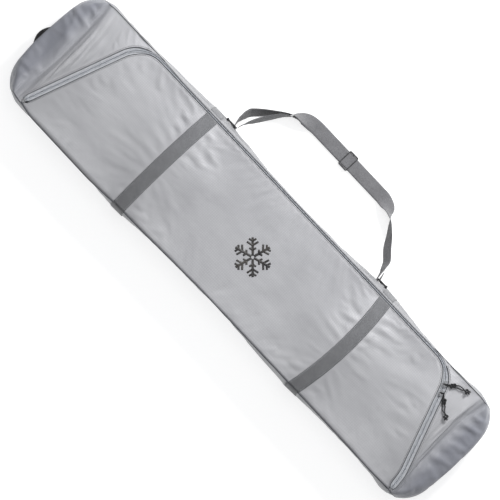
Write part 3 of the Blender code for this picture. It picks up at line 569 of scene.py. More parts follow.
def outline(spacing):
    """(x, y, angle of the outward normal) round the bag, anticlockwise from the foot end's middle."""
    reach = HALF_LENGTH - CORNER
    width = HALF_WIDTH - CORNER
    runs = (
        ((reach, 0.0), (reach, width), 0), ((reach, width), (-reach, width), 90),
        ((-reach, width), (-reach, -width), 180), ((-reach, -width), (reach, -width), 270),
        ((reach, -width), (reach, 0.0), 360),
    )
    stations = []
    for index, ((x0, y0), (x1, y1), degrees) in enumerate(runs):
        turn = math.radians(degrees)
        out = (CORNER * math.cos(turn), CORNER * math.sin(turn))
        parts = max(2, round(math.hypot(x1 - x0, y1 - y0) / spacing))
        for k in range(parts):
            share = k / parts
            stations.append((lerp(x0, x1, share) + out[0], lerp(y0, y1, share) + out[1], turn))
        if index == 4:
            break
        parts = max(8, round(CORNER * math.pi / 2 / spacing))
        for k in range(parts):
            angle = turn + math.pi / 2 * k / parts
            stations.append((x1 + CORNER * math.cos(angle), y1 + CORNER * math.sin(angle), angle))
    return [(x + MIDDLE_X, y, turn) for x, y, turn in stations]


def side_shift(x, turn):
    """How far the side swells out or draws in here, against a straight side."""
    sideways = math.sin(turn)
    out = STRAP_OUT(x) if sideways > 0 else HINGE_OUT(x)
    return out * sideways * sideways


def shell_point(station, phi, depth=0.0):
    """A point on the shell at profile angle phi, from -90 degrees at the back to 90 at the front."""
    x, y, turn = station
    endness = math.cos(turn) ** 2
    if phi >= 0:
        inset = ROLL_SIDE + (ROLL_END - ROLL_SIDE) * ease(endness)
        tall = FRONT - WAIST
    else:
        inset = UNDER_SIDE + (UNDER_END - UNDER_SIDE) * endness
        tall = WAIST - BACK
    out = -inset * (1 - math.cos(phi)) - depth * math.cos(phi)
    drawn_in = 0.75 * max(math.sin(phi), 0.0) ** 2 if y > 0 else 0.0
    out += side_shift(x, turn) * (1 - drawn_in)
    up = (tall - depth) * math.sin(phi)
    return Vector((x + out * math.cos(turn), y + out * math.sin(turn), WAIST + up))


# ---- the zip's path in plan ----
ZIP_CORNERS = ((0.684, -0.1600), (0.6765, -0.1085), (0.5697, 0.1615), (-0.550, 0.1615), (-0.657, -0.1600))
ZIP_RADII = (0.120, 0.082, 0.085)
STRIP_WIDE = 0.0085
STRIP_NARROW = 0.0039
TAPE_WIDE = 0.0140
TAPE_NARROW = 0.0034


def zip_route(spacing=0.004):
    """(point, left normal) along the zip, from the foot's hinge side round to the head's."""
    points = [Vector(ZIP_CORNERS[0])]
    for index, radius in enumerate(ZIP_RADII, start=1):
        before, corner, after = (Vector(c) for c in ZIP_CORNERS[index - 1:index + 2])
        way_in = (corner - before).normalized()
        turn = way_in.angle_signed((after - corner).normalized())
        start = corner - way_in * radius * math.tan(abs(turn) / 2)
        centre = start + Vector((-way_in.y, way_in.x)) * radius
        first = math.atan2(start.y - centre.y, start.x - centre.x)
        for k in range(19):
            angle = first + abs(turn) * k / 18
            points.append(centre + radius * Vector((math.cos(angle), math.sin(angle))))
    points.append(Vector(ZIP_CORNERS[-1]))
    at = np.array(along_line(points))
    data = np.array([tuple(p)[:2] for p in points])
    wanted = np.linspace(0.0, at[-1], round(at[-1] / spacing))
    route = [point_at(distance, at, data) for distance in wanted]
    out = []
    for i, point in enumerate(route):
        way = (route[min(i + 1, len(route) - 1)] - route[max(i - 1, 0)]).normalized()
        out.append((point, Vector((-way.y, way.x))))
    return out


ROUTE = zip_route()
ROUTE_XY = np.array([tuple(p) for p, _ in ROUTE])


def strip_share(y):
    return ease((ZIP_Y - y) / 0.032)


def end_taper(y):
    return ease((y - ZIP_CORNERS[0][1]) / 0.020)


def strip_half(y):
    return STRIP_NARROW + (STRIP_WIDE - STRIP_NARROW) * strip_share(y) * end_taper(y)


def tape_half(y):
    return TAPE_NARROW + (TAPE_WIDE - TAPE_NARROW) * strip_share(y) * end_taper(y)


def zip_distance(x, y):
    gap = ROUTE_XY - np.array((x, y))
    return float(np.sqrt((gap * gap).sum(1).min()))


def band_x(end, y):
    """The middle of a band across the front: it bows a little between the two sides."""
    edge, bow = BOW[end]
    return edge + bow * math.cos(math.pi / 2 * min(abs(y) / 0.165, 1.0)) ** 0.8


# ================================================================ folds and dents of the cloth
DENTS = (
    # x, y, reach along x, reach along y, depth
    (-0.105, -0.055, 0.085, 0.050, 0.0050), (-0.030, 0.060, 0.070, 0.035, 0.0035),
    (0.130, 0.075, 0.090, 0.040, 0.0050), (0.215, -0.050, 0.070, 0.045, 0.0042),
    (-0.220, 0.070, 0.060, 0.045, 0.0045), (-0.430, 0.030, 0.080, 0.060, 0.0048),
    (-0.520, -0.070, 0.060, 0.045, 0.0036), (-0.400, -0.105, 0.060, 0.030, 0.0030),
    (0.430, 0.050, 0.060, 0.050, 0.0046), (0.470, -0.060, 0.075, 0.045, 0.0042),
    (0.560, -0.110, 0.050, 0.032, 0.0028), (0.060, -0.105, 0.100, 0.026, 0.0030),
    (-0.670, 0.060, 0.028, 0.060, 0.0040), (0.672, 0.030, 0.030, 0.055, 0.0042),
)
FOLDS = (
    # start, end, half width, height: single creases that run across the cloth
    ((-0.275, 0.120), (-0.190, 0.062), 0.007, 0.0030), ((-0.322, 0.128), (-0.400, 0.080), 0.008, 0.0034),
    ((-0.322, 0.095), (-0.380, 0.052), 0.006, 0.0022), ((-0.275, 0.090), (-0.215, 0.022), 0.006, 0.0022),
    ((0.355, 0.120), (0.440, 0.085), 0.008, 0.0032), ((0.350, 0.085), (0.420, 0.030), 0.006, 0.0022),
    ((0.312, 0.118), (0.240, 0.090), 0.007, 0.0028), ((0.318, 0.075), (0.250, 0.030), 0.006, 0.0020),
    ((-0.470, 0.150), (-0.440, 0.100), 0.006, 0.0030), ((-0.530, 0.148), (-0.505, 0.095), 0.006, 0.0030),
    ((-0.600, 0.105), (-0.540, 0.060), 0.007, 0.0024), ((-0.560, -0.140), (-0.500, -0.090), 0.008, 0.0022),
    ((0.020, 0.150), (0.050, 0.105), 0.008, 0.0024), ((-0.060, 0.150), (-0.085, 0.112), 0.007, 0.0024),
    ((0.190, 0.150), (0.165, 0.112), 0.007, 0.0020), ((0.020, -0.150), (0.080, -0.115), 0.008, 0.0018),
    ((-0.200, -0.150), (-0.150, -0.105), 0.008, 0.0020), ((0.480, 0.120), (0.520, 0.060), 0.008, 0.0024),
    ((0.560, 0.020), (0.500, -0.030), 0.009, 0.0020), ((-0.640, -0.120), (-0.585, -0.060), 0.009, 0.0020),
    ((-0.735, 0.095), (-0.655, 0.085), 0.006, 0.0034), ((-0.715, 0.128), (-0.640, 0.110), 0.006, 0.0030),
    ((-0.740, 0.060), (-0.680, 0.020), 0.007, 0.0026), ((-0.730, -0.095), (-0.680, -0.070), 0.007, 0.0026),
    ((0.735, 0.100), (0.655, 0.082), 0.006, 0.0034), ((0.720, 0.125), (0.650, 0.120), 0.006, 0.0026),
    ((0.742, 0.045), (0.690, 0.010), 0.007, 0.0030), ((0.742, -0.060), (0.700, -0.045), 0.006, 0.0028),
    ((0.728, -0.125), (0.690, -0.100), 0.006, 0.0030), ((0.740, -0.010), (0.685, -0.030), 0.006, 0.0022),
)


def fold_height(x, y):
    """The height that the single creases add at a place."""
    total = 0.0
    for (x0, y0), (x1, y1), wide, tall in FOLDS:
        dx = x1 - x0
        dy = y1 - y0
        span = math.hypot(dx, dy)
        share = ((x - x0) * dx + (y - y0) * dy) / (span * span)
        if share < -0.15 or share > 1.2:
            continue
        off = abs((x - x0) * dy - (y - y0) * dx) / span
        spread_out = wide * (1 + 1.3 * max(share, 0.0))
        if off > 4 * spread_out:
            continue
        fade = ease((share + 0.15) / 0.2) * (1 - ease((share - 0.35) / 0.85))
        bell = math.exp(-(off / spread_out) ** 2)
        bell -= 0.55 * math.exp(-((off - 1.7 * spread_out) / spread_out) ** 2)
        total += tall * fade * bell
    return total


def puckers(x, y):
    """Short gathers where the bands pull the cloth in, stronger towards the strap side."""
    total = 0.0
    for end in BANDS:
        off = abs(x - band_x(end, y)) - WEB_WIDTH / 2
        if off > 0.16:
            continue
        side = 1.0 if x > band_x(end, y) else -1.0
        near = math.exp(-max(off, 0.0) / 0.042) * ease((off + 0.004) / 0.012)
        strength = 0.0010 + 0.0016 * ease((y + 0.04) / 0.12)
        lean = y + 0.30 * off * side * (0.6 if end == "head" else -0.4)
        wobble = ripple(x, y, 9, 3.1 + side)
        total += strength * near * math.sin(2 * math.pi * lean / 0.031 + 3.4 * wobble + side)
        total += 0.4 * strength * near * math.sin(2 * math.pi * lean / 0.0135 + 5 * wobble)
    return total


def seam_gathers(x, gap, seed):
    """Small ripples that start at a seam, gap away, and die out over the cloth beside it."""
    near = math.exp(-gap / 0.020)
    wave = math.sin(2 * math.pi * x / 0.024 + 4.0 * ripple(x, 0.0, 7, seed))
    return 0.0009 * near * wave * (0.45 + 0.55 * abs(ripple(x, 0.4, 5, seed + 2)) * 2)


def relief(x, y):
    """How far the front of the bag stands above its flat plane here, before the seams hold it down."""
    total = 0.0
    for cx, cy, rx, ry, depth in DENTS:
        total -= depth * math.exp(-((x - cx) / rx) ** 2 - ((y - cy) / ry) ** 2)
    total += CROWN * math.cos(math.pi / 2 * min(abs(y) / 0.165, 1.0))
    total += 0.0024 * ripple(x, y, 11, 1.7) + 0.0016 * ripple(x * 0.7, y, 26, 5.2)
    ridge = 1 - abs(ripple(x * 0.8, y, 17, 8.3)) * 4
    total += 0.0012 * max(ridge, 0.0)
    total += 0.0006 * ripple(x, y * 1.4, 62, 11.4)
    return total + puckers(x, y) + fold_height(x, y)


def hinge_seam_height(x, y):
    """The front's height near the hinge side, where it starts to roll over the edge."""
    margin = HALF_WIDTH + HINGE_OUT(x) + y
    if margin >= ROLL_SIDE or y > 0:
        return FRONT
    return WAIST + (FRONT - WAIST) * math.sqrt(max(1 - (1 - max(margin, 0.0) / ROLL_SIDE) ** 2, 0.0))


def flap_point(x, y):
    zip_gap = max(zip_distance(x, y) - strip_half(y), 0.0)
    hinge_gap = max(y - HINGE_SEAM(x), 0.0)
    hold = ease(zip_gap / 0.040) * ease(hinge_gap / 0.026)
    rise = relief(x, y) * hold
    for end in BANDS:
        off = abs(x - band_x(end, y)) / (WEB_WIDTH / 2 + 0.012)
        if off < 1:
            pressed = ease((1 - off) * 2.2)
            rise = lerp(rise, 0.8 * CROWN * math.cos(math.pi / 2 * min(abs(y) / 0.165, 1.0)) * hold, pressed)
    rise += seam_gathers(x, hinge_gap, 2.0) * ease(hinge_gap / 0.006)
    rise += seam_gathers(x + y * 0.8, zip_gap, 6.0) * ease(zip_gap / 0.006)
    return Vector((x, y, hinge_seam_height(x, y) + rise))


def flap_edges():
    """x of the flap's cut edge at the head and at the foot, as functions of y."""
    edge = [(p + n * strip_half(p.y)) for p, n in ROUTE]
    foot = sorted((e.y, e.x) for e in edge if e.x > 0.45)
    head = sorted((e.y, e.x) for e in edge if e.x < -0.42)
    sides = []
    for rows in (head, foot):
        ys = [r[0] for r in rows]
        xs = [r[1] for r in rows]
        sides.append(lambda y, ys=ys, xs=xs: float(np.interp(y, ys, xs)))
    return sides


FLAP_TOP = ZIP_Y - STRIP_NARROW
FLAP_LOW = -0.1600


def flap_shell():
    head, foot = flap_edges()
    plain = round((0.125 - FLAP_LOW) / STEP)
    rows_y = [lerp(FLAP_LOW, 0.125, k / plain) for k in range(plain)]
    rows_y += [lerp(0.125, FLAP_TOP, 1 - (1 - k / 12) ** 2) for k in range(13)]
    columns = round(1.30 / STEP)
    corner = 0.5140
    rows = []
    for y in rows_y:
        low = head(y) if y < FLAP_TOP - 1e-6 else -0.4915
        high = foot(y) if y < FLAP_TOP - 1e-6 else corner
        row = []
        for k in range(columns + 1):
            x = lerp(low, high, k / columns)
            place = y + (HINGE_SEAM(x) - FLAP_LOW) * (1 - ease((y - FLAP_LOW) / 0.06))
            row.append(flap_point(x, place))
        rows.append(row)
    obj = grid("flap_cloth", rows, FABRIC)
    pins = []
    for row in rows:
        for point in row:
            gap = min(zip_distance(point.x, point.y) - strip_half(point.y), point.y - HINGE_SEAM(point.x))
            hold = 1 - ease((gap - 0.001) / 0.012)
            for end in BANDS:
                off = abs(point.x - band_x(end, point.y)) - WEB_WIDTH / 2
                hold = max(hold, 1 - ease((off + 0.002) / 0.007))
            pins.append(hold)
    return obj, pins


def end_shell(name, foot):
    """The fixed front panel beyond the zip at one end: from the zip strip's edge out over the roll."""
    sign = 1 if foot else -1
    stations = outline(0.0050)
    half = len(stations) // 2
    if foot:
        ring = stations[half:] + stations[:half]
        chosen = [s for s in ring if s[0] > (0.684 if s[1] < 0 else 0.516)]
        route = [(p, n) for p, n in ROUTE if p.x > 0 and p.y < ZIP_Y - 0.0004]
    else:
        chosen = [s for s in stations if s[0] < (-0.657 if s[1] < 0 else -0.492)][::-1]
        route = [(p, n) for p, n in ROUTE if p.x < 0 and p.y < ZIP_Y - 0.0004][::-1]
    plan = [Vector((s[0], s[1], 0.0)) for s in chosen]
    shares = np.array(along_line(plan)) / along_line(plan)[-1]
    edge = [p - n * strip_half(p.y) for p, n in route]
    data = np.array([tuple(p) for p in edge])
    spots = np.linspace(0.0, 1.0, len(edge))
    roll = 16
    flat = 26
    rows = []
    pins = []
    for station, share in zip(chosen, shares):
        low = seam_of(station)
        row = []
        for k in range(roll):
            phi = lerp(low, math.pi / 2, k / roll)
            base = shell_point(station, phi)
            out = Vector((math.cos(station[2]) * math.cos(phi), math.sin(station[2]) * math.cos(phi),
                          math.sin(phi)))
            zip_gap = max(zip_distance(base.x, base.y) - strip_half(base.y), 0.0)
            height = 0.75 * relief(base.x, base.y) - 0.0008
            height += 0.0018 * ripple(share * 3.1, phi * 0.12, 9, 4.4 + sign)
            height *= ease(zip_gap / 0.030)
            height += seam_gathers(base.x + base.y, zip_gap, 9.0) * ease(zip_gap / 0.006) * math.sin(phi)
            base += out * height * ease(k / 5)
            row.append(base)
            pins.append(1 - ease((k - 0.5) / 2.5))
        inner = point_at(share, spots, data)
        top = shell_point(station, math.pi / 2)
        if abs(inner.y) > 0.150:
            inner.y = math.copysign(min(abs(inner.y), max(abs(top.y), 0.150) - 0.0004), inner.y)
        for k in range(flat + 1):
            x = lerp(top.x, inner.x, k / flat)
            y = lerp(top.y, inner.y, k / flat)
            zip_gap = max(zip_distance(x, y) - strip_half(y), 0.0)
            hold = ease(zip_gap / 0.030)
            inland = ease(math.hypot(x - top.x, y - top.y) / 0.075)
            blend_in = 0.75 * relief(x, y) - 0.0008
            blend_in += 0.0018 * ripple(share * 3.1, math.pi / 2 * 0.12, 9, 4.4 + sign) * (1 - inland)
            height = blend_in * hold
            height += seam_gathers(x + y, zip_gap, 9.0) * ease(zip_gap / 0.006)
            row.append(Vector((x, y, FRONT + height)))
            pins.append(1 - ease((zip_gap - 0.001) / 0.010))
        if not foot:
            row = row[::-1]
            pins[-len(row):] = pins[-len(row):][::-1]
        rows.append(row)
    for index in range(len(rows[0])):
        pins[index] = 1.0
        pins[-1 - index] = 1.0
    return grid(name, rows, FABRIC), pins


def seam_of(station):
    """The profile angle of the seam between front and gusset at a station."""
    x, y, turn = station
    side = SEAM_SIDE
    if y < 0:
        margin = HALF_WIDTH + HINGE_OUT(x) + HINGE_SEAM(x)
        side = math.acos(1 - min(max(margin, 0.002), 0.0139) / ROLL_SIDE)
    return lerp(side, SEAM_END, ease(math.cos(turn) ** 2 / 0.4))


def gusset_shell(name, stations, material):
    """One side or end of the bag, from its seam with the back up to its seam with the front."""
    columns = 24
    rows = []
    pins = []
    for index, station in enumerate(stations):
        top = seam_of(station)
        along = station[0] * abs(math.sin(station[2])) + station[1] * abs(math.cos(station[2]))
        squeeze = 0.0
        for middle in BANDS.values():
            off = abs(station[0] - middle) - WEB_WIDTH / 2
            if abs(math.sin(station[2])) > 0.99:
                squeeze = max(squeeze, math.exp(-max(off, 0.0) / 0.030) if off > 0 else 1.0)
        row = []
        for k in range(columns + 1):
            share = k / columns
            phi = lerp(-SEAM_SIDE, top, share)
            base = shell_point(station, phi)
            normal = Vector((math.cos(phi) * math.cos(station[2]), math.cos(phi) * math.sin(station[2]),
                             math.sin(phi) * 0.3)).normalized()
            gap = min(share, 1 - share) * 0.14
            wave = 0.0030 * ripple(along, phi * 0.05, 14, 7.0 + station[2])
            wave += 0.0016 * ripple(along * 1.6, phi * 0.10, 30, 2.0)
            wave += 0.0015 * squeeze * math.sin(2 * math.pi * phi / 0.42 + 3 * ripple(along, phi, 8, 1.2))
            wave += 0.0012 * math.exp(-gap / 0.014) * math.sin(2 * math.pi * along / 0.021
                                                             + 4 * ripple(along, 0, 9, 3.3))
            base += normal * (wave - 0.0012) * ease(gap / 0.016) * (1 - 0.8 * (squeeze > 0.999))
            row.append(base)
            edge = index < 2 or index > len(stations) - 3
            pins.append(1.0 if k in (0, columns) or edge or squeeze > 0.999 else 0.0)
        rows.append(row)
    return grid(name, rows, material), pins


def back_shell():
    """The flat back, as one sheet inside its seam."""
    ring = []
    for station in outline(0.012):
        rim = shell_point(station, -SEAM_SIDE)
        ring.append(Vector((rim.x, rim.y, 0.0)))
    rows = []
    for share in (1.0, 0.97, 0.93, 0.85, 0.72, 0.56, 0.40, 0.24, 0.08):
        row = []
        for p in ring:
            q = Vector((p.x * share + MIDDLE_X * (1 - share), p.y * share, 0.0))
            slack = 0.0007 * ripple(q.x, q.y, 9, 2.5) + 0.0004 * ripple(q.x, q.y, 24, 4.5)
            q.z = BACK + 0.0006 + (slack + 0.0004) * ease((1 - share) / 0.1)
            row.append(q)
        row.append(row[0].copy())
        rows.append(row)
    obj = grid("back_cloth", rows, SIDE_PAINTED_SHADE_FABRIC)
    work = obj.data
    hub = len(work.vertices)
    points = [v.co.copy() for v in work.vertices] + [Vector((MIDDLE_X, 0, BACK + 0.001))]
    wide = len(rows[0])
    faces = [tuple(p.vertices) for p in work.polygons]
    last = (len(rows) - 1) * wide
    faces += [(last + k, hub, last + k + 1) for k in range(wide - 1)]
    bpy.data.objects.remove(obj)
    return make("back_cloth", points, faces, SIDE_PAINTED_SHADE_FABRIC)


def turn_out(obj):
    """Turns a shell piece's faces so that they point away from the inside of the bag."""
    total = 0.0
    for face in obj.data.polygons:
        spine = Vector((min(max(face.center.x, -0.6), 0.6), 0.0, WAIST))
        total += face.normal.dot(face.center - spine) * face.area
    if total < 0:
        obj.data.flip_normals()


def settle(pieces, grow, frames):
    """Lets the cloth pieces settle together: a little spare cloth buckles between the held seams."""
    for obj, pins in pieces:
        group = obj.vertex_groups.new(name="held")
        for index, weight in enumerate(pins):
            if weight > 0:
                group.add([index], min(weight, 1.0), "REPLACE")
        cloth = obj.modifiers.new("cloth", "CLOTH")
        rules = cloth.settings
        rules.quality = 4
        rules.mass = 0.15
        rules.tension_stiffness = 30
        rules.compression_stiffness = 30
        rules.shear_stiffness = 12
        rules.bending_stiffness = 1.2
        rules.air_damping = 2
        rules.vertex_group_mass = "held"
        spare = grow if obj.name == "flap_cloth" else grow / 2
        rules.shrink_min = -spare
        rules.shrink_max = -spare
        rules.effector_weights.gravity = 0.25
        cloth.collision_settings.use_collision = False
        cloth.collision_settings.use_self_collision = False
        cloth.point_cache.frame_start = 1
        cloth.point_cache.frame_end = frames
    scene = bpy.context.scene
    for number in range(1, frames + 1):
        scene.frame_set(number)
    return [as_mesh(obj) for obj, _ in pieces]


# ================================================================ pieces that lie on the cloth
def facing_out(rows, outward):
    """The rows, turned round if their quads' normals would point against the wanted way."""
    middle = len(rows) // 2
    a = rows[middle + 1][0] - rows[middle][0]
    b = rows[middle][1] - rows[middle][0]
    return rows if a.cross(b).dot(outward) > 0 else [row[::-1] for row in rows]


class Surface:
    """The settled cloth of some shell pieces, asked for its height at a place in plan."""

    def __init__(self, *objs):
        points = []
        faces = []
        for obj in objs:
            first = len(points)
            points += [v.co.copy() for v in obj.data.vertices]
            faces += [tuple(first + i for i in p.vertices) for p in obj.data.polygons]
        self.tree = BVHTree.FromPolygons(points, faces)

    def height(self, x, y, otherwise=FRONT):
        hit = self.tree.ray_cast(Vector((x, y, 0.4)), -UP)
        return hit[0].z if hit[0] is not None and hit[0].z > 0.05 else otherwise


def stitches(name, line, material=None, long=0.0028, pitch=0.0042, thick=0.00042):
    """A row of sewn stitches along (point, normal) pairs: short threads that dip into the cloth."""
    places = [p for p, _ in line]
    at = along_line(places)
    count = int(at[-1] / pitch)
    data = np.array([tuple(p) for p in places])
    ups = np.array([tuple(n) for _, n in line])
    points = []
    faces = []

    def sample(table, where):
        return Vector([float(np.interp(where, at, table[:, k])) for k in range(3)])

    for i in range(count):
        middle = (i + 0.5) * at[-1] / count
        a = sample(data, middle - long / 2)
        b = sample(data, middle + long / 2)
        up = sample(ups, middle).normalized()
        way = (b - a).normalized()
        side = way.cross(up).normalized() * thick
        first = len(points)
        for share, rise in ((0.0, -0.3), (0.22, 0.9), (0.78, 0.9), (1.0, -0.3)):
            base = a.lerp(b, share) + up * thick * rise
            points += [base - side, base + up * thick * 0.7, base + side]
        for k in range(3):
            j = first + 3 * k
            faces += [(j, j + 1, j + 4, j + 3), (j + 1, j + 2, j + 5, j + 4), (j + 2, j, j + 3, j + 5)]
        faces += [(first, first + 2, first + 1), (first + 9, first + 10, first + 11)]
    return make(name, points, faces, material or THREAD)


def zip_line(offset_of, rise, surface, low=0, high=None, plan_only=False):
    """(point, up) pairs along the zip at an offset, lying on the cloth."""
    out = []
    for p, n in ROUTE[low:high]:
        q = p + n * offset_of(p.y)
        z = FRONT if plan_only else surface.height(q.x, q.y)
        out.append((Vector((q.x, q.y, z + rise)), UP))
    return out


def route_part(far_end_gap=0.003):
    steps = max(1, round(far_end_gap / 0.004))
    return steps, len(ROUTE) - steps


def zip_tape(name, side):
    low, high = route_part()
    rows = []
    for p, n in ROUTE[low:high]:
        row = []
        for share in (0.0, 0.3, 0.65, 1.0):
            q = p + n * side * lerp(0.0013, tape_half(p.y), share)
            sag = 0.0004 * math.sin(math.pi * share) + 0.0002 * ripple(q.x, q.y, 60, 2.0 + side)
            row.append(Vector((q.x, q.y, FRONT - 0.0029 + sag)))
        rows.append(row)
    return cloth_sheet(name, rows, TAPE, TAPE_THICK, 0.0)


def zip_teeth(name, side):
    """The nylon coil's turns along one side of the zip, each a small rounded loop across the edge."""
    pitch = 0.0016
    points = []
    faces = []
    plan = [Vector((p.x, p.y, 0.0)) for p, _ in ROUTE[2:-2]]
    at = np.array(along_line(plan))
    data = np.array([tuple(p)[:2] for p in plan])
    count = int(at[-1] / pitch)
    rings = ((0.0003, 0.55), (0.0012, 1.0), (0.0029, 0.95), (0.0036, 0.4))
    for i in range(count):
        where = (i + (0.5 if side > 0 else 0.0)) * pitch
        x, y = values_at(where, at, data)
        ahead_x, ahead_y = values_at(min(where + 0.002, at[-1]), at, data)
        way = Vector((ahead_x - x, ahead_y - y))
        if way.length < 1e-6:
            continue
        way.normalize()
        out = Vector((-way.y, way.x)) * side
        first = len(points)
        for reach, fat in rings:
            for k in range(6):
                angle = math.pi / 3 * k
                shift = way * 0.00062 * fat * math.cos(angle)
                points.append(Vector((
                    x + out.x * reach + shift.x, y + out.y * reach + shift.y,
                    FRONT - 0.0014 + 0.0009 * fat * math.sin(angle),
                )))
        for ring in range(3):
            a = first + 6 * ring
            faces += [(a + k, a + (k + 1) % 6, a + 6 + (k + 1) % 6, a + 6 + k) for k in range(6)]
        faces += [tuple(first + k for k in reversed(range(6))), tuple(first + 18 + k for k in range(6))]
    return make(name, points, faces, COIL)


def build_zip(surface):
    on_bag(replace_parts(zip_tape("zip_tape_panel_cloth", -1), "zip_tape_fixed"), "zip_tape")
    tape = zip_tape("zip_tape_flap_cloth", 1)
    on_flap(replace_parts(tape, "zip_tape_flap", "zip_tape_flap_foot"), "zip_tape")
    on_bag(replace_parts(zip_teeth("zip_teeth_panel", -1), "zip_coil_fixed"), "zip_coil")
    on_flap(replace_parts(zip_teeth("zip_teeth_flap", 1), "zip_coil_flap", "zip_coil_flap_foot"), "zip_coil")
    low, high = route_part()
    # The dark cords along the zip strip's cut edges stand partly for the dark edge thread and partly for
    # painted shadow under the folded fabric edges.
    edges = (
        ("zip_edge_flap", 1, on_flap, low, high),
        ("zip_edge_foot_panel", -1, on_bag, low, low + round(0.345 / 0.004)),
        ("zip_edge_head_panel", -1, on_bag, high - round(0.350 / 0.004), high),
    )
    for name, side, fasten, start, stop in edges:
        line = zip_line(lambda y: side * (strip_half(y) + 0.0005), 0.0002, surface, start, stop, True)
        fasten(tube(name, [p for p, _ in line], 0.00085, THREAD))
        line = zip_line(lambda y: side * (strip_half(y) + 0.0042), 0.0003, surface, start, stop)
        fasten(stitches(name + "_stitches", line))


def strap_side_lip():
    """A narrow fold of the strap side's cloth that covers the outer half of the zip between its bends."""
    rows = []
    for k in range(201):
        x = lerp(-0.480, 0.490, k / 200)
        station = (x, HALF_WIDTH, math.pi / 2)
        edge = shell_point(station, seam_of(station))
        tuck = ease(k / 14) * ease((200 - k) / 14)
        reach = lerp(edge.y - 0.0006, 0.1621 + 0.0003 * ripple(x, 0.0, 40, 3.0), tuck)
        low = shell_point(station, seam_of(station) - 0.10)
        rows.append([
            Vector((x, low.y + 0.0003, low.z + 0.0005)), Vector((x, edge.y, edge.z + 0.0012)),
            Vector((x, lerp(edge.y, reach, 0.5), FRONT + 0.0008)), Vector((x, reach, FRONT + 0.0004)),
        ])
    rows = facing_out(rows, UP)
    on_bag(cloth_sheet("strap_side_zip_lip", rows, SIDE_PAINTED_SHADE_FABRIC, 0.0007), "ripstop_fabric")


def zip_end_backing():
    """A small cloth patch under each end of the zip, where the flap, the panel and the gusset meet."""
    for (x, y), word in ((ZIP_CORNERS[0], "foot"), (ZIP_CORNERS[-1], "head")):
        rows = [[Vector((x + 0.016 * (i / 4 - 0.5), y + lerp(-0.0055, 0.010, k / 4),
                         hinge_seam_height(x, y + lerp(-0.0055, 0.010, k / 4)) - 0.0036))
                 for k in range(5)] for i in range(5)]
        rows = facing_out(rows, UP)
        on_bag(cloth_sheet(f"zip_end_backing_{word}", rows, SIDE_PAINTED_SHADE_FABRIC, 0.0008), "ripstop_fabric")


def shell_seams():
    """The piping and seam lines where the shell pieces are sewn together."""
    points = []
    count = 180
    for k in range(count + 1):
        x = lerp(-0.6555, 0.6825, k / count)
        y = HINGE_SEAM(x)
        points.append(Vector((x, y - 0.0002, hinge_seam_height(x, y) - 0.0004)))
    on_bag(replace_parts(tube("hinge_piping_cord", points, 0.0014, PIPING), "hinge_seam_piping"), "black_cord")
    stations = outline(0.0060)
    ring = [shell_point(s, seam_of(s), 0.0003) for s in stations]
    foot = [p for p, s in zip(ring, stations) if s[2] >= math.radians(270) and s[0] > 0.684]
    foot += [p for p, s in zip(ring, stations) if s[2] <= math.radians(91) and s[0] > 0.50]
    head = [p for p, s in zip(ring, stations) if s[2] >= math.radians(89) and s[2] <= math.radians(271)
            and s[0] < -0.48 and not (s[2] > math.radians(269) and s[0] > -0.657)]
    on_bag(tube("foot_seam_piping", foot, 0.0010, THREAD))
    on_bag(tube("head_seam_piping", head, 0.0010, THREAD))
    low = [shell_point(s, -SEAM_SIDE, -0.0002) for s in stations]
    on_bag(tube("back_seam_piping", low, 0.0011, THREAD, True))


def band_strip(name, rows, node, fasten, along):
    """Webbing through rows of points. Its UV runs in metres, along and across."""
    wide = len(rows[0])
    uv = []
    at = 0.0
    for i, row in enumerate(rows):
        if i:
            at += (row[wide // 2] - rows[i - 1][wide // 2]).length
        uv += [(at, lerp(-WEB_WIDTH / 2, WEB_WIDTH / 2, k / (wide - 1))) for k in range(wide)]
    obj = cloth_sheet(name, rows, along, WEB, uv=uv)
    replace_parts(obj, node)
    return fasten(obj, "band_webbing")


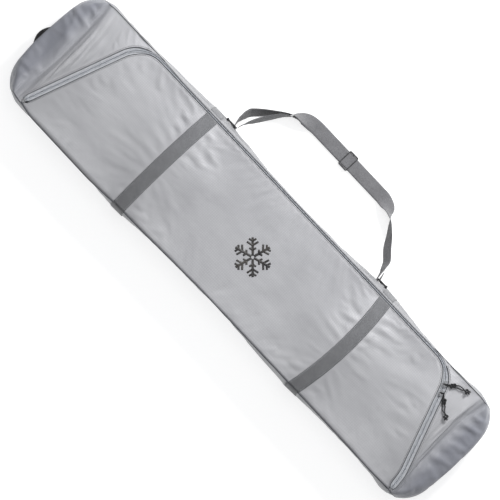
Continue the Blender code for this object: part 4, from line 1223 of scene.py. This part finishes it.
def build_bands(surface):
    across = 7
    for end, middle in BANDS.items():
        rows = []
        edges = {-1: [], 1: []}
        steps = 80
        for i in range(steps + 1):
            y = lerp(HINGE_SEAM(band_x(end, -0.16)) + 0.0008, FLAP_TOP - 0.0010, i / steps)
            row = []
            for k in range(across):
                off = lerp(-1, 1, k / (across - 1))
                x = band_x(end, y) + off * WEB_WIDTH / 2
                z = surface.height(x, y, hinge_seam_height(x, y)) + 0.0017 - 0.0003 * off * off
                row.append(Vector((x, y, z)))
            rows.append(row)
            for side in edges:
                x = band_x(end, y) + side * (WEB_WIDTH / 2 - 0.0028)
                z = surface.height(x, y, hinge_seam_height(x, y)) + 0.0018
                edges[side].append((Vector((x, y, z)), UP))
        band_strip(f"band_{end}_flap_webbing", facing_out(rows, UP), f"band_{end}_flap", on_flap, BAND)
        for side, word in ((-1, "head_edge"), (1, "foot_edge")):
            on_flap(stitches(f"band_{end}_{word}_stitches", edges[side][1:-1], PALE_THREAD))
        for sign, word in ((1, "strap"), (-1, "hinge")):
            turn = math.radians(90 * sign)
            rows = []
            top = seam_of((middle, HALF_WIDTH * sign, turn)) - 0.03
            for i in range(33):
                phi = lerp(math.radians(-80), top, i / 32)
                x_middle = lerp(middle, band_x(end, 0.165), ease(max(math.sin(phi), 0.0)))
                row = []
                for k in range(across):
                    x = x_middle + WEB_WIDTH * (k / (across - 1) - 0.5)
                    row.append(shell_point((x, HALF_WIDTH * sign, turn), phi, -0.0016))
                rows.append(row)
            rows = facing_out(rows, Vector((0, sign, -0.3)))
            band_strip(f"band_{end}_{word}_gusset_webbing", rows, f"band_{end}_{word}_gusset", on_bag, BAND)
        low = -(HALF_WIDTH - UNDER_SIDE - 0.006)
        rows = [[Vector((middle + WEB_WIDTH * (k / 6 - 0.5), lerp(low, -low, i / 60), 0.0)) for k in range(7)]
                for i in range(61)]
        rows = facing_out(rows, Vector((0, 0, -1)))
        band_strip(f"band_{end}_back_webbing", rows, f"band_{end}_back", on_bag, BAND)


# ================================================================ rings, strap, handle and pulls
RING_WIRE = 0.0044
RING_DEPTH = 0.0272
RING_OFF_BAND = 0.0068
LAYER_RISE = 0.0052
STRAP_Z = 0.0064
STRAP_CLEAR = 0.0012
STRAP_Y = 0.3375
TRIGLIDE_X = 0.0126
TRIGLIDE_FLOOR = 0.0022
TRIGLIDE_BAR_TOP = 0.0035


def ring_places():
    """For each end: the x of the ring's sewn bar, the x of its free bar, and the way it points."""
    half = WEB_WIDTH / 2
    head = BANDS["head"] + half + RING_OFF_BAND
    foot = BANDS["foot"] - half - RING_OFF_BAND
    return {"head": (head, head + RING_DEPTH, 1), "foot": (foot, foot - RING_DEPTH, -1)}


def ribbon_frames(stations, count, width=WEB_WIDTH, rise=None):
    """Points, directions across and normals along (x, y, z, roll in degrees) stations. Roll 0 is flat."""
    route = smooth_route([s[:3] for s in stations], count)
    rolls = smooth_route([(s[3], 0.0, 0.0) for s in stations], count)
    frames = []
    level = None
    for i, point in enumerate(route):
        roll = math.radians(rolls[i].x)
        if rise is not None:
            lowest = rise * abs(math.cos(roll)) + width / 2 * abs(math.sin(roll)) + STRAP_CLEAR
            point.z = max(point.z, lowest)
        way = (route[min(i + 1, count - 1)] - route[max(i - 1, 0)]).normalized()
        flat = Vector((-way.y, way.x, 0.0))
        if level is not None and (flat.length < 0.5 or flat.dot(level) < 0):
            flat = level
        level = flat.normalized()
        across = level * math.cos(roll) + UP * math.sin(roll)
        across = (across - way * across.dot(way)).normalized()
        frames.append((point, across, way.cross(across).normalized(), rolls[i].x))
    return frames


def on_floor(x, y, roll, lift=0.0):
    angle = math.radians(roll)
    height = LAYER_RISE * abs(math.cos(angle)) + WEB_WIDTH / 2 * abs(math.sin(angle)) + STRAP_CLEAR
    return (x, y, height + lift, roll)


def round_bar(x, degrees):
    """Stations on a turn of webbing round a ring's upright bar."""
    reach = RING_WIRE / 2 + WEB / 2 + 0.0004
    turns = [math.radians(turn) for turn in degrees]
    return [(x + reach * math.cos(a), RING_Y + reach * math.sin(a), WAIST, -90) for a in turns]


def strap_stations():
    """The strap from the head ring, where it turns round the free bar, to the foot ring."""
    ring = ring_places()
    head = ring["head"][1]
    foot = ring["foot"][1]
    return [
        (head + 0.0040, 0.1868, WAIST, -90),
        *round_bar(head, (20, -30, -80, -120, -160)),
        (head - 0.0056, 0.1900, WAIST, -90),
        (head - 0.0076, 0.1980, WAIST - 0.0022, -92),
        (head - 0.0088, 0.2080, 0.0575, -97),
        (head - 0.0065, 0.2250, 0.0460, -108),
        (head + 0.0010, 0.2420, 0.0335, -115),
        on_floor(-0.225, 0.2640, -114, 0.0015),
        on_floor(-0.200, 0.2890, -103),
        on_floor(-0.172, 0.3130, -88),
        on_floor(-0.150, 0.3260, -50),
        on_floor(-0.128, 0.3340, -18),
        on_floor(-0.108, STRAP_Y - 0.0006, 0),
        on_floor(-0.092, STRAP_Y, 0),
        on_floor(-0.070, STRAP_Y, 0),
        on_floor(-0.020, STRAP_Y, 0),
        on_floor(0.030, STRAP_Y, 0),
        on_floor(0.080, STRAP_Y, 0),
        on_floor(0.112, STRAP_Y, 0),
        on_floor(0.130, STRAP_Y, 0),
        on_floor(0.141, STRAP_Y, 0),
        on_floor(0.158, 0.3340, -18),
        on_floor(0.178, 0.3265, -52),
        on_floor(0.196, 0.3120, -88),
        on_floor(0.220, 0.2860, -106),
        on_floor(0.243, 0.2560, -116, 0.008),
        (foot - 0.0170, 0.2310, 0.0430, -112),
        (foot - 0.0085, 0.2100, 0.0565, -98),
        (foot - 0.0056, 0.1960, WAIST - 0.0015, -91),
        (foot - 0.0042, 0.1880, WAIST, -90),
        *round_bar(foot, (200, 240, 280, 320, 360)),
        (foot + 0.0032, 0.1880, WAIST, -90),
        (foot + 0.0010, 0.1950, WAIST - 0.0008, -90),
        (foot - 0.0008, 0.2010, WAIST - 0.0025, -92),
    ]


def return_stations(strap):
    """The layer that comes back from the head ring to the triglide, under the strap."""
    free = ring_places()["head"][1]
    common = []
    for point, _, up, roll in strap:
        if point.y > 0.276 and point.x < -0.060:
            under = point - up * LAYER_RISE
            common.append((under.x, under.y, under.z, roll))
    low = STRAP_Z - LAYER_RISE
    bar = (TRIGLIDE_FLOOR + TRIGLIDE_BAR_TOP) / 2
    top = TRIGLIDE_BAR_TOP + WEB / 2 + 0.0003
    return [
        (free + 0.0062, 0.1935, WAIST - 0.0008, -89),
        (free + 0.0082, 0.2020, WAIST - 0.0035, -86),
        (free + 0.0118, 0.2140, 0.0545, -92),
        (free + 0.0190, 0.2290, 0.0430, -98),
        (free + 0.0300, 0.2480, 0.0300, -104),
        *common,
        (-0.030, STRAP_Y, low, 0),
        (TRIGLIDE_X - 0.008, STRAP_Y, low, 0),
        (TRIGLIDE_X + 0.0008, STRAP_Y, low + 0.0001, 0),
        (TRIGLIDE_X + 0.0028, STRAP_Y, bar, 0),
        (TRIGLIDE_X + 0.0008, STRAP_Y, top, 0),
        (TRIGLIDE_X - 0.010, STRAP_Y, top, 0),
        (TRIGLIDE_X - 0.028, STRAP_Y, top, 0),
    ]


def webbing_ribbon(name, frames, outside, inside, width=WEB_WIDTH, thick=WEB):
    """Webbing along frames, with its two faces in two materials and its UV in metres."""
    across = 9
    rows = []
    uv = []
    at = 0.0
    for i, (point, over, up, _) in enumerate(frames):
        if i:
            at += (point - frames[i - 1][0]).length
        row = []
        for k in range(across):
            off = lerp(-1, 1, k / (across - 1))
            wave = 0.00025 * ripple(at * 9, off * 0.3, 6, 1.5)
            row.append(point + over * off * width / 2 + up * wave)
            uv.append((at, off * width / 2))
        rows.append(row)
    obj = grid(name, rows, outside, uv=uv)
    obj.data.materials.append(inside)
    solid = thicken(obj, thick, 0.0).modifiers[-1]
    solid.material_offset = 1
    return as_mesh(obj), at


def build_strap():
    strap = ribbon_frames(strap_stations(), 420, rise=LAYER_RISE)
    back = ribbon_frames(return_stations(strap[::9]), 330, rise=0.0)
    layers = (
        ("shoulder_strap_webbing", "shoulder_strap", strap),
        ("strap_return_webbing", "strap_return", back),
    )
    for name, node, frames in layers:
        obj, length = webbing_ribbon(name, frames, STRAP, STRAP_INNER_SHADED)
        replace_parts(obj, node)
        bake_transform(obj)


def ring_tab(name, sewn, way, node):
    """Webbing folded round a ring's sewn bar, with its two ends sewn flat to the gusset."""
    reach = RING_WIRE / 2 + 0.0005 + WEB / 2
    floor = RING_Y - reach
    plan = [(-0.0062, floor + 0.0019), (-0.0030, floor + 0.0019)]
    plan += [(reach * math.cos(a), RING_Y + reach * math.sin(a)) for a in
             (math.radians(130 - 22 * k) for k in range(11))]
    plan += [(-0.0030, floor), (-0.0062, floor)]
    line = spread(smooth_route([(sewn + way * x, y, 0.0) for x, y in plan], 12 * (len(plan) - 1) + 1), 34)
    half = WEB_WIDTH / 2 - 0.001
    rows = []
    uv = []
    at = along_line(line)
    for p, along in zip(line, at):
        rows.append([Vector((p.x, p.y, WAIST + half * off)) for off in (-1, -0.5, 0, 0.5, 1)])
        uv += [(along, half * off) for off in (-1, -0.5, 0, 0.5, 1)]
    obj = cloth_sheet(name, rows, BAND, WEB, 0.0, uv)
    on_bag(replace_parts(obj, node), "band_webbing")


def handle_webbing(name, stations, count):
    frames = ribbon_frames(stations, count, HANDLE_WIDTH)
    return webbing_ribbon(name, frames, HANDLE, HANDLE, HANDLE_WIDTH, HANDLE_THICK)[0]


def build_handle():
    wall = MIDDLE_X - HALF_LENGTH - 0.0005 - 0.0011
    low, high = -0.065, 0.040
    patch = 0.016
    for name, node, y0, y1 in (
        ("handle_end_strap_side", "handle_patch_strap_side", high, high - patch),
        ("handle_end_hinge_side", "handle_patch_hinge_side", low + patch, low),
    ):
        stations = [(wall, lerp(y0, y1, k / 3), WAIST, 90) for k in range(4)]
        obj = handle_webbing(name, stations, 12)
        on_bag(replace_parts(obj, node), "black_cord")
        for step in (0.0025, patch - 0.0025):
            y = max(y0, y1) - step
            line = [(Vector((wall - 0.0013, y, WAIST - 0.010 + 0.020 * k / 6)), Vector((-1, 0, 0)))
                    for k in range(7)]
            on_bag(stitches(f"{name}_stitches_{round(step * 1e4)}", line))
    start = high - patch - 0.0004
    reach = low + patch + 0.0004 - start
    stations = []
    for k in range(11):
        share = k / 10
        bow = math.sin(math.pi * share)
        stations.append((wall - 0.0086 * bow ** 0.9, start + reach * share, WAIST, 90 - 32 * bow))
    obj = handle_webbing("grab_handle_webbing", stations, 60)
    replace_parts(obj, "grab_handle")
    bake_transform(obj)


UPPER_SLIDER = (Vector((0.5845, 0.1213)), Vector((-0.5100, 0.8602)))
LOWER_SLIDER = (Vector((0.5939, 0.1004)), Vector((0.3678, -0.9299)))
LOWER_TRAVEL = 0.195
CORD_RADIUS = 0.0014
UPPER_PULL = ((0.014, 0.0012), (0.026, 0.0035), (0.044, 0.0040), (0.055, 0.0015))
LOWER_PULL = ((0.016, 0.0030), (0.028, 0.0010), (0.044, -0.0010), (0.057, 0.0010))
UPPER_STRAND = ((0.0072, 0.0016, 0.0042), (0.0040, 0.0013, 0.0073), (0.0010, 0.0008, 0.0083))
LOWER_STRAND = (
    (-0.0019, 0.0004, 0.0077), (-0.0026, 0.0, 0.0061), (-0.0017, -0.0004, 0.0044),
    (0.0008, -0.0008, 0.0038), (0.0042, -0.0013, 0.0039), (0.0074, -0.0016, 0.0030),
)


def knot_loops(centre, out, side, radius):
    """The turns of an overhand knot, as one closed line round the doubled cord."""
    points = []
    for k in range(48):
        a = 2 * math.pi * k / 48
        wrap = radius * (1.0 + 0.30 * math.cos(3 * a))
        along = out * (0.0030 * math.sin(3 * a) * 0.9 + 0.0013 * math.sin(a))
        sideways = side * wrap * math.cos(2 * a)
        points.append(centre + along + sideways + UP * wrap * 0.72 * math.sin(2 * a))
    return points


def cord_pull(end, place, way, degrees, bows, surface, body, travel=0.0):
    """A doubled cord looped round the slider's bail and gathered in knots, with two frayed tails."""
    aim = math.radians(degrees)
    out = Vector((math.cos(aim), math.sin(aim), 0.0))
    side = Vector((-out.y, out.x, 0.0))
    across = Vector((way.y, -way.x, 0.0))
    across = across if across.dot(out) > 0 else -across
    along = Vector((-across.y, across.x, 0.0))
    start = Vector((place.x, place.y, 0.0))

    def laid(reach, bow, shift):
        opened = 0.0018 * math.sin(math.pi * min(max((reach - 0.020) / 0.030, 0.0), 1.0))
        shift += math.copysign(opened, shift) if shift else 0.0
        at = start + out * reach + side * (bow + shift)
        wiggle = 0.0009 * math.sin(reach * 300 + shift * 900)
        at += side * wiggle
        passed = [at.xy + way * travel * share for share in (0.0, 0.2, 0.4, 0.6, 0.8, 1.0)]
        ground = max(FRONT - 0.001, *(surface.height(p.x, p.y) for p in passed))
        return Vector((at.x, at.y, ground + CORD_RADIUS + 0.0005))

    def looped(reach, shift, height):
        at = start + across * reach + along * shift
        return Vector((at.x, at.y, FRONT + height))

    fine = smooth_route([(r, b, 0.0) for r, b in bows], 9)
    apart = CORD_RADIUS * 1.15
    over = [looped(*p) for p in reversed(UPPER_STRAND)] + [laid(p.x, p.y, apart) for p in fine]
    turn = looped(*UPPER_STRAND[-1])
    under = [turn] + [looped(*p) for p in LOWER_STRAND] + [laid(p.x, p.y, -apart) for p in fine]
    for word, route in (("over", over), ("under", under)):
        line = smooth_route(route, 90)
        cord = tube(f"pull_cord_{end}_{word}", line, CORD_RADIUS, CORD)
        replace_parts(cord, f"pull_cord_{end}")
        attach(cord, body)
    last = bows[-1]
    for number, (reach, bow, size) in enumerate((
        (last[0] + 0.0040, last[1], 0.0046), (bows[0][0] + 0.0045, bows[0][1] + 0.0006, 0.0044),
        (bows[0][0] + 0.0110, bows[1][1], 0.0038),
    )):
        centre = laid(reach, bow, 0.0) + Vector((0, 0, 0.0012))
        knot = tube(f"pull_knot_{end}_{number}", knot_loops(centre, out, side, size), 0.0016, CORD, True)
        if number == 0:
            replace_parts(knot, f"pull_knot_{end}")
        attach(knot, body)
    tail = last[0] + 0.0065
    for number in range(8):
        lean = (number - 3.5) * 0.10
        points = []
        for k in range(6):
            reach = tail + 0.0082 * k / 5 * (0.8 + 0.25 * ripple(number, 0.3, 1.7, 2.2))
            drift = (0.0018 if number % 2 else -0.0018) + lean * 0.008 * k / 5
            sway = 0.0004 * math.sin(k * 1.7 + number) - 0.0002
            points.append(laid(reach, last[1], drift) + UP * sway)
        strand = tube(f"pull_tail_{end}_{number}", points, 0.00075, CORD, False, 2)
        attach(strand, body)


def build_hardware(surface):
    finishes = {
        "strap_ring_head": PLASTIC, "strap_ring_foot": PLASTIC, "triglide": PLASTIC,
        "zip_slider_upper": METAL, "zip_slider_lower": METAL, "zip_stop_foot": METAL, "zip_stop_head": METAL,
    }
    for name, finish in finishes.items():
        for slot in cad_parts[name].material_slots:
            slot.material = finish
    cord_pull("upper", *UPPER_SLIDER, 27, UPPER_PULL, surface, "pull_upper")
    cord_pull("lower", *LOWER_SLIDER, -33, LOWER_PULL, surface, "pull_lower", LOWER_TRAVEL)
    for end, (sewn, _, way) in ring_places().items():
        ring_tab(f"ring_tab_{end}_webbing", sewn, way, f"ring_tab_{end}")


# ================================================================ the printed mark
def snow_crystal(surface):
    """A plain six-armed snow crystal, printed on the flap."""
    centre = Vector((0.024, -0.010))
    reach = 0.050
    strokes = []
    for arm in range(6):
        angle = math.radians(60 * arm + 16.7)
        out = Vector((math.cos(angle), math.sin(angle)))
        strokes.append((centre + out * 0.004, centre + out * reach, 0.0062))
        for share, branch in ((0.36, 0.010), (0.60, 0.017), (0.82, 0.011)):
            root = centre + out * reach * share
            for side in (-1, 1):
                lean = angle + side * math.radians(58)
                tip = root + Vector((math.cos(lean), math.sin(lean))) * branch
                strokes.append((root, tip, 0.0052))
    points = []
    faces = []
    for a, b, wide in strokes:
        way = (b - a).normalized()
        side = Vector((-way.y, way.x)) * wide / 2
        parts = max(2, round((b - a).length / 0.003))
        first = len(points)
        for k in range(parts + 1):
            middle = a.lerp(b, k / parts)
            for off in (-1, 0, 1):
                p = middle + side * off
                points.append(Vector((p.x, p.y, surface.height(p.x, p.y) + 0.00035)))
        for k in range(parts):
            j = first + 3 * k
            faces += [(j, j + 3, j + 4, j + 1), (j + 1, j + 4, j + 5, j + 2)]
    obj = as_mesh(thicken(make("printed_snow_crystal", points, faces, INK), 0.00018, 1.0))
    on_flap(obj)


# ================================================================ the bag put together
STANDS_FOR = {
    "flap_cloth": "front_flap", "foot_panel_cloth": "front_foot_panel",
    "head_panel_cloth": "front_head_panel", "strap_side_cloth": "gusset_strap_side",
    "head_end_cloth": "gusset_head_end", "hinge_side_cloth": "gusset_hinge_side",
    "foot_end_cloth": "gusset_foot_end", "back_cloth": "back_panel",
}


def build_shell():
    """Makes the cloth of the bag, lets it settle, and returns the settled front for what lies on it."""
    pieces = [flap_shell(), end_shell("foot_panel_cloth", True), end_shell("head_panel_cloth", False)]
    stations = outline(0.0050)
    parts = (
        ("strap_side_cloth", 22.5, 157.5, SIDE_PAINTED_SHADE_FABRIC), ("head_end_cloth", 157.5, 202.5, END_PAINTED_SHADE_FABRIC),
        ("hinge_side_cloth", 202.5, 337.5, SIDE_PAINTED_SHADE_FABRIC),
    )
    for name, low, high, material in parts:
        chosen = [s for s in stations if math.radians(low) - 0.03 <= s[2] <= math.radians(high) + 0.03]
        pieces.append(gusset_shell(name, chosen, material))
    first = [s for s in stations if s[2] >= math.radians(337.5) - 0.03]
    last = [s for s in stations if s[2] <= math.radians(22.5) + 0.03]
    pieces.append(gusset_shell("foot_end_cloth", first + last, END_PAINTED_SHADE_FABRIC))
    done = settle(pieces, SPARE_CLOTH, SETTLE_FRAMES)
    front = Surface(*done[:3])
    for obj in done + [back_shell()]:
        turn_out(obj)
        obj.data.materials.append(LINING)
        solid = thicken(obj, CLOTH).modifiers[-1]
        solid.material_offset = 1
        obj = as_mesh(obj)
        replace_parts(obj, STANDS_FOR[obj.name])
        if obj.name == "flap_cloth":
            on_flap(obj, "ripstop_fabric")
        else:
            on_bag(obj, "ripstop_fabric")
    return front


set_up_view()
light_the_set()
cloth = build_shell()
build_zip(cloth)
strap_side_lip()
zip_end_backing()
shell_seams()
build_bands(cloth)
build_hardware(cloth)
build_strap()
build_handle()
snow_crystal(cloth)
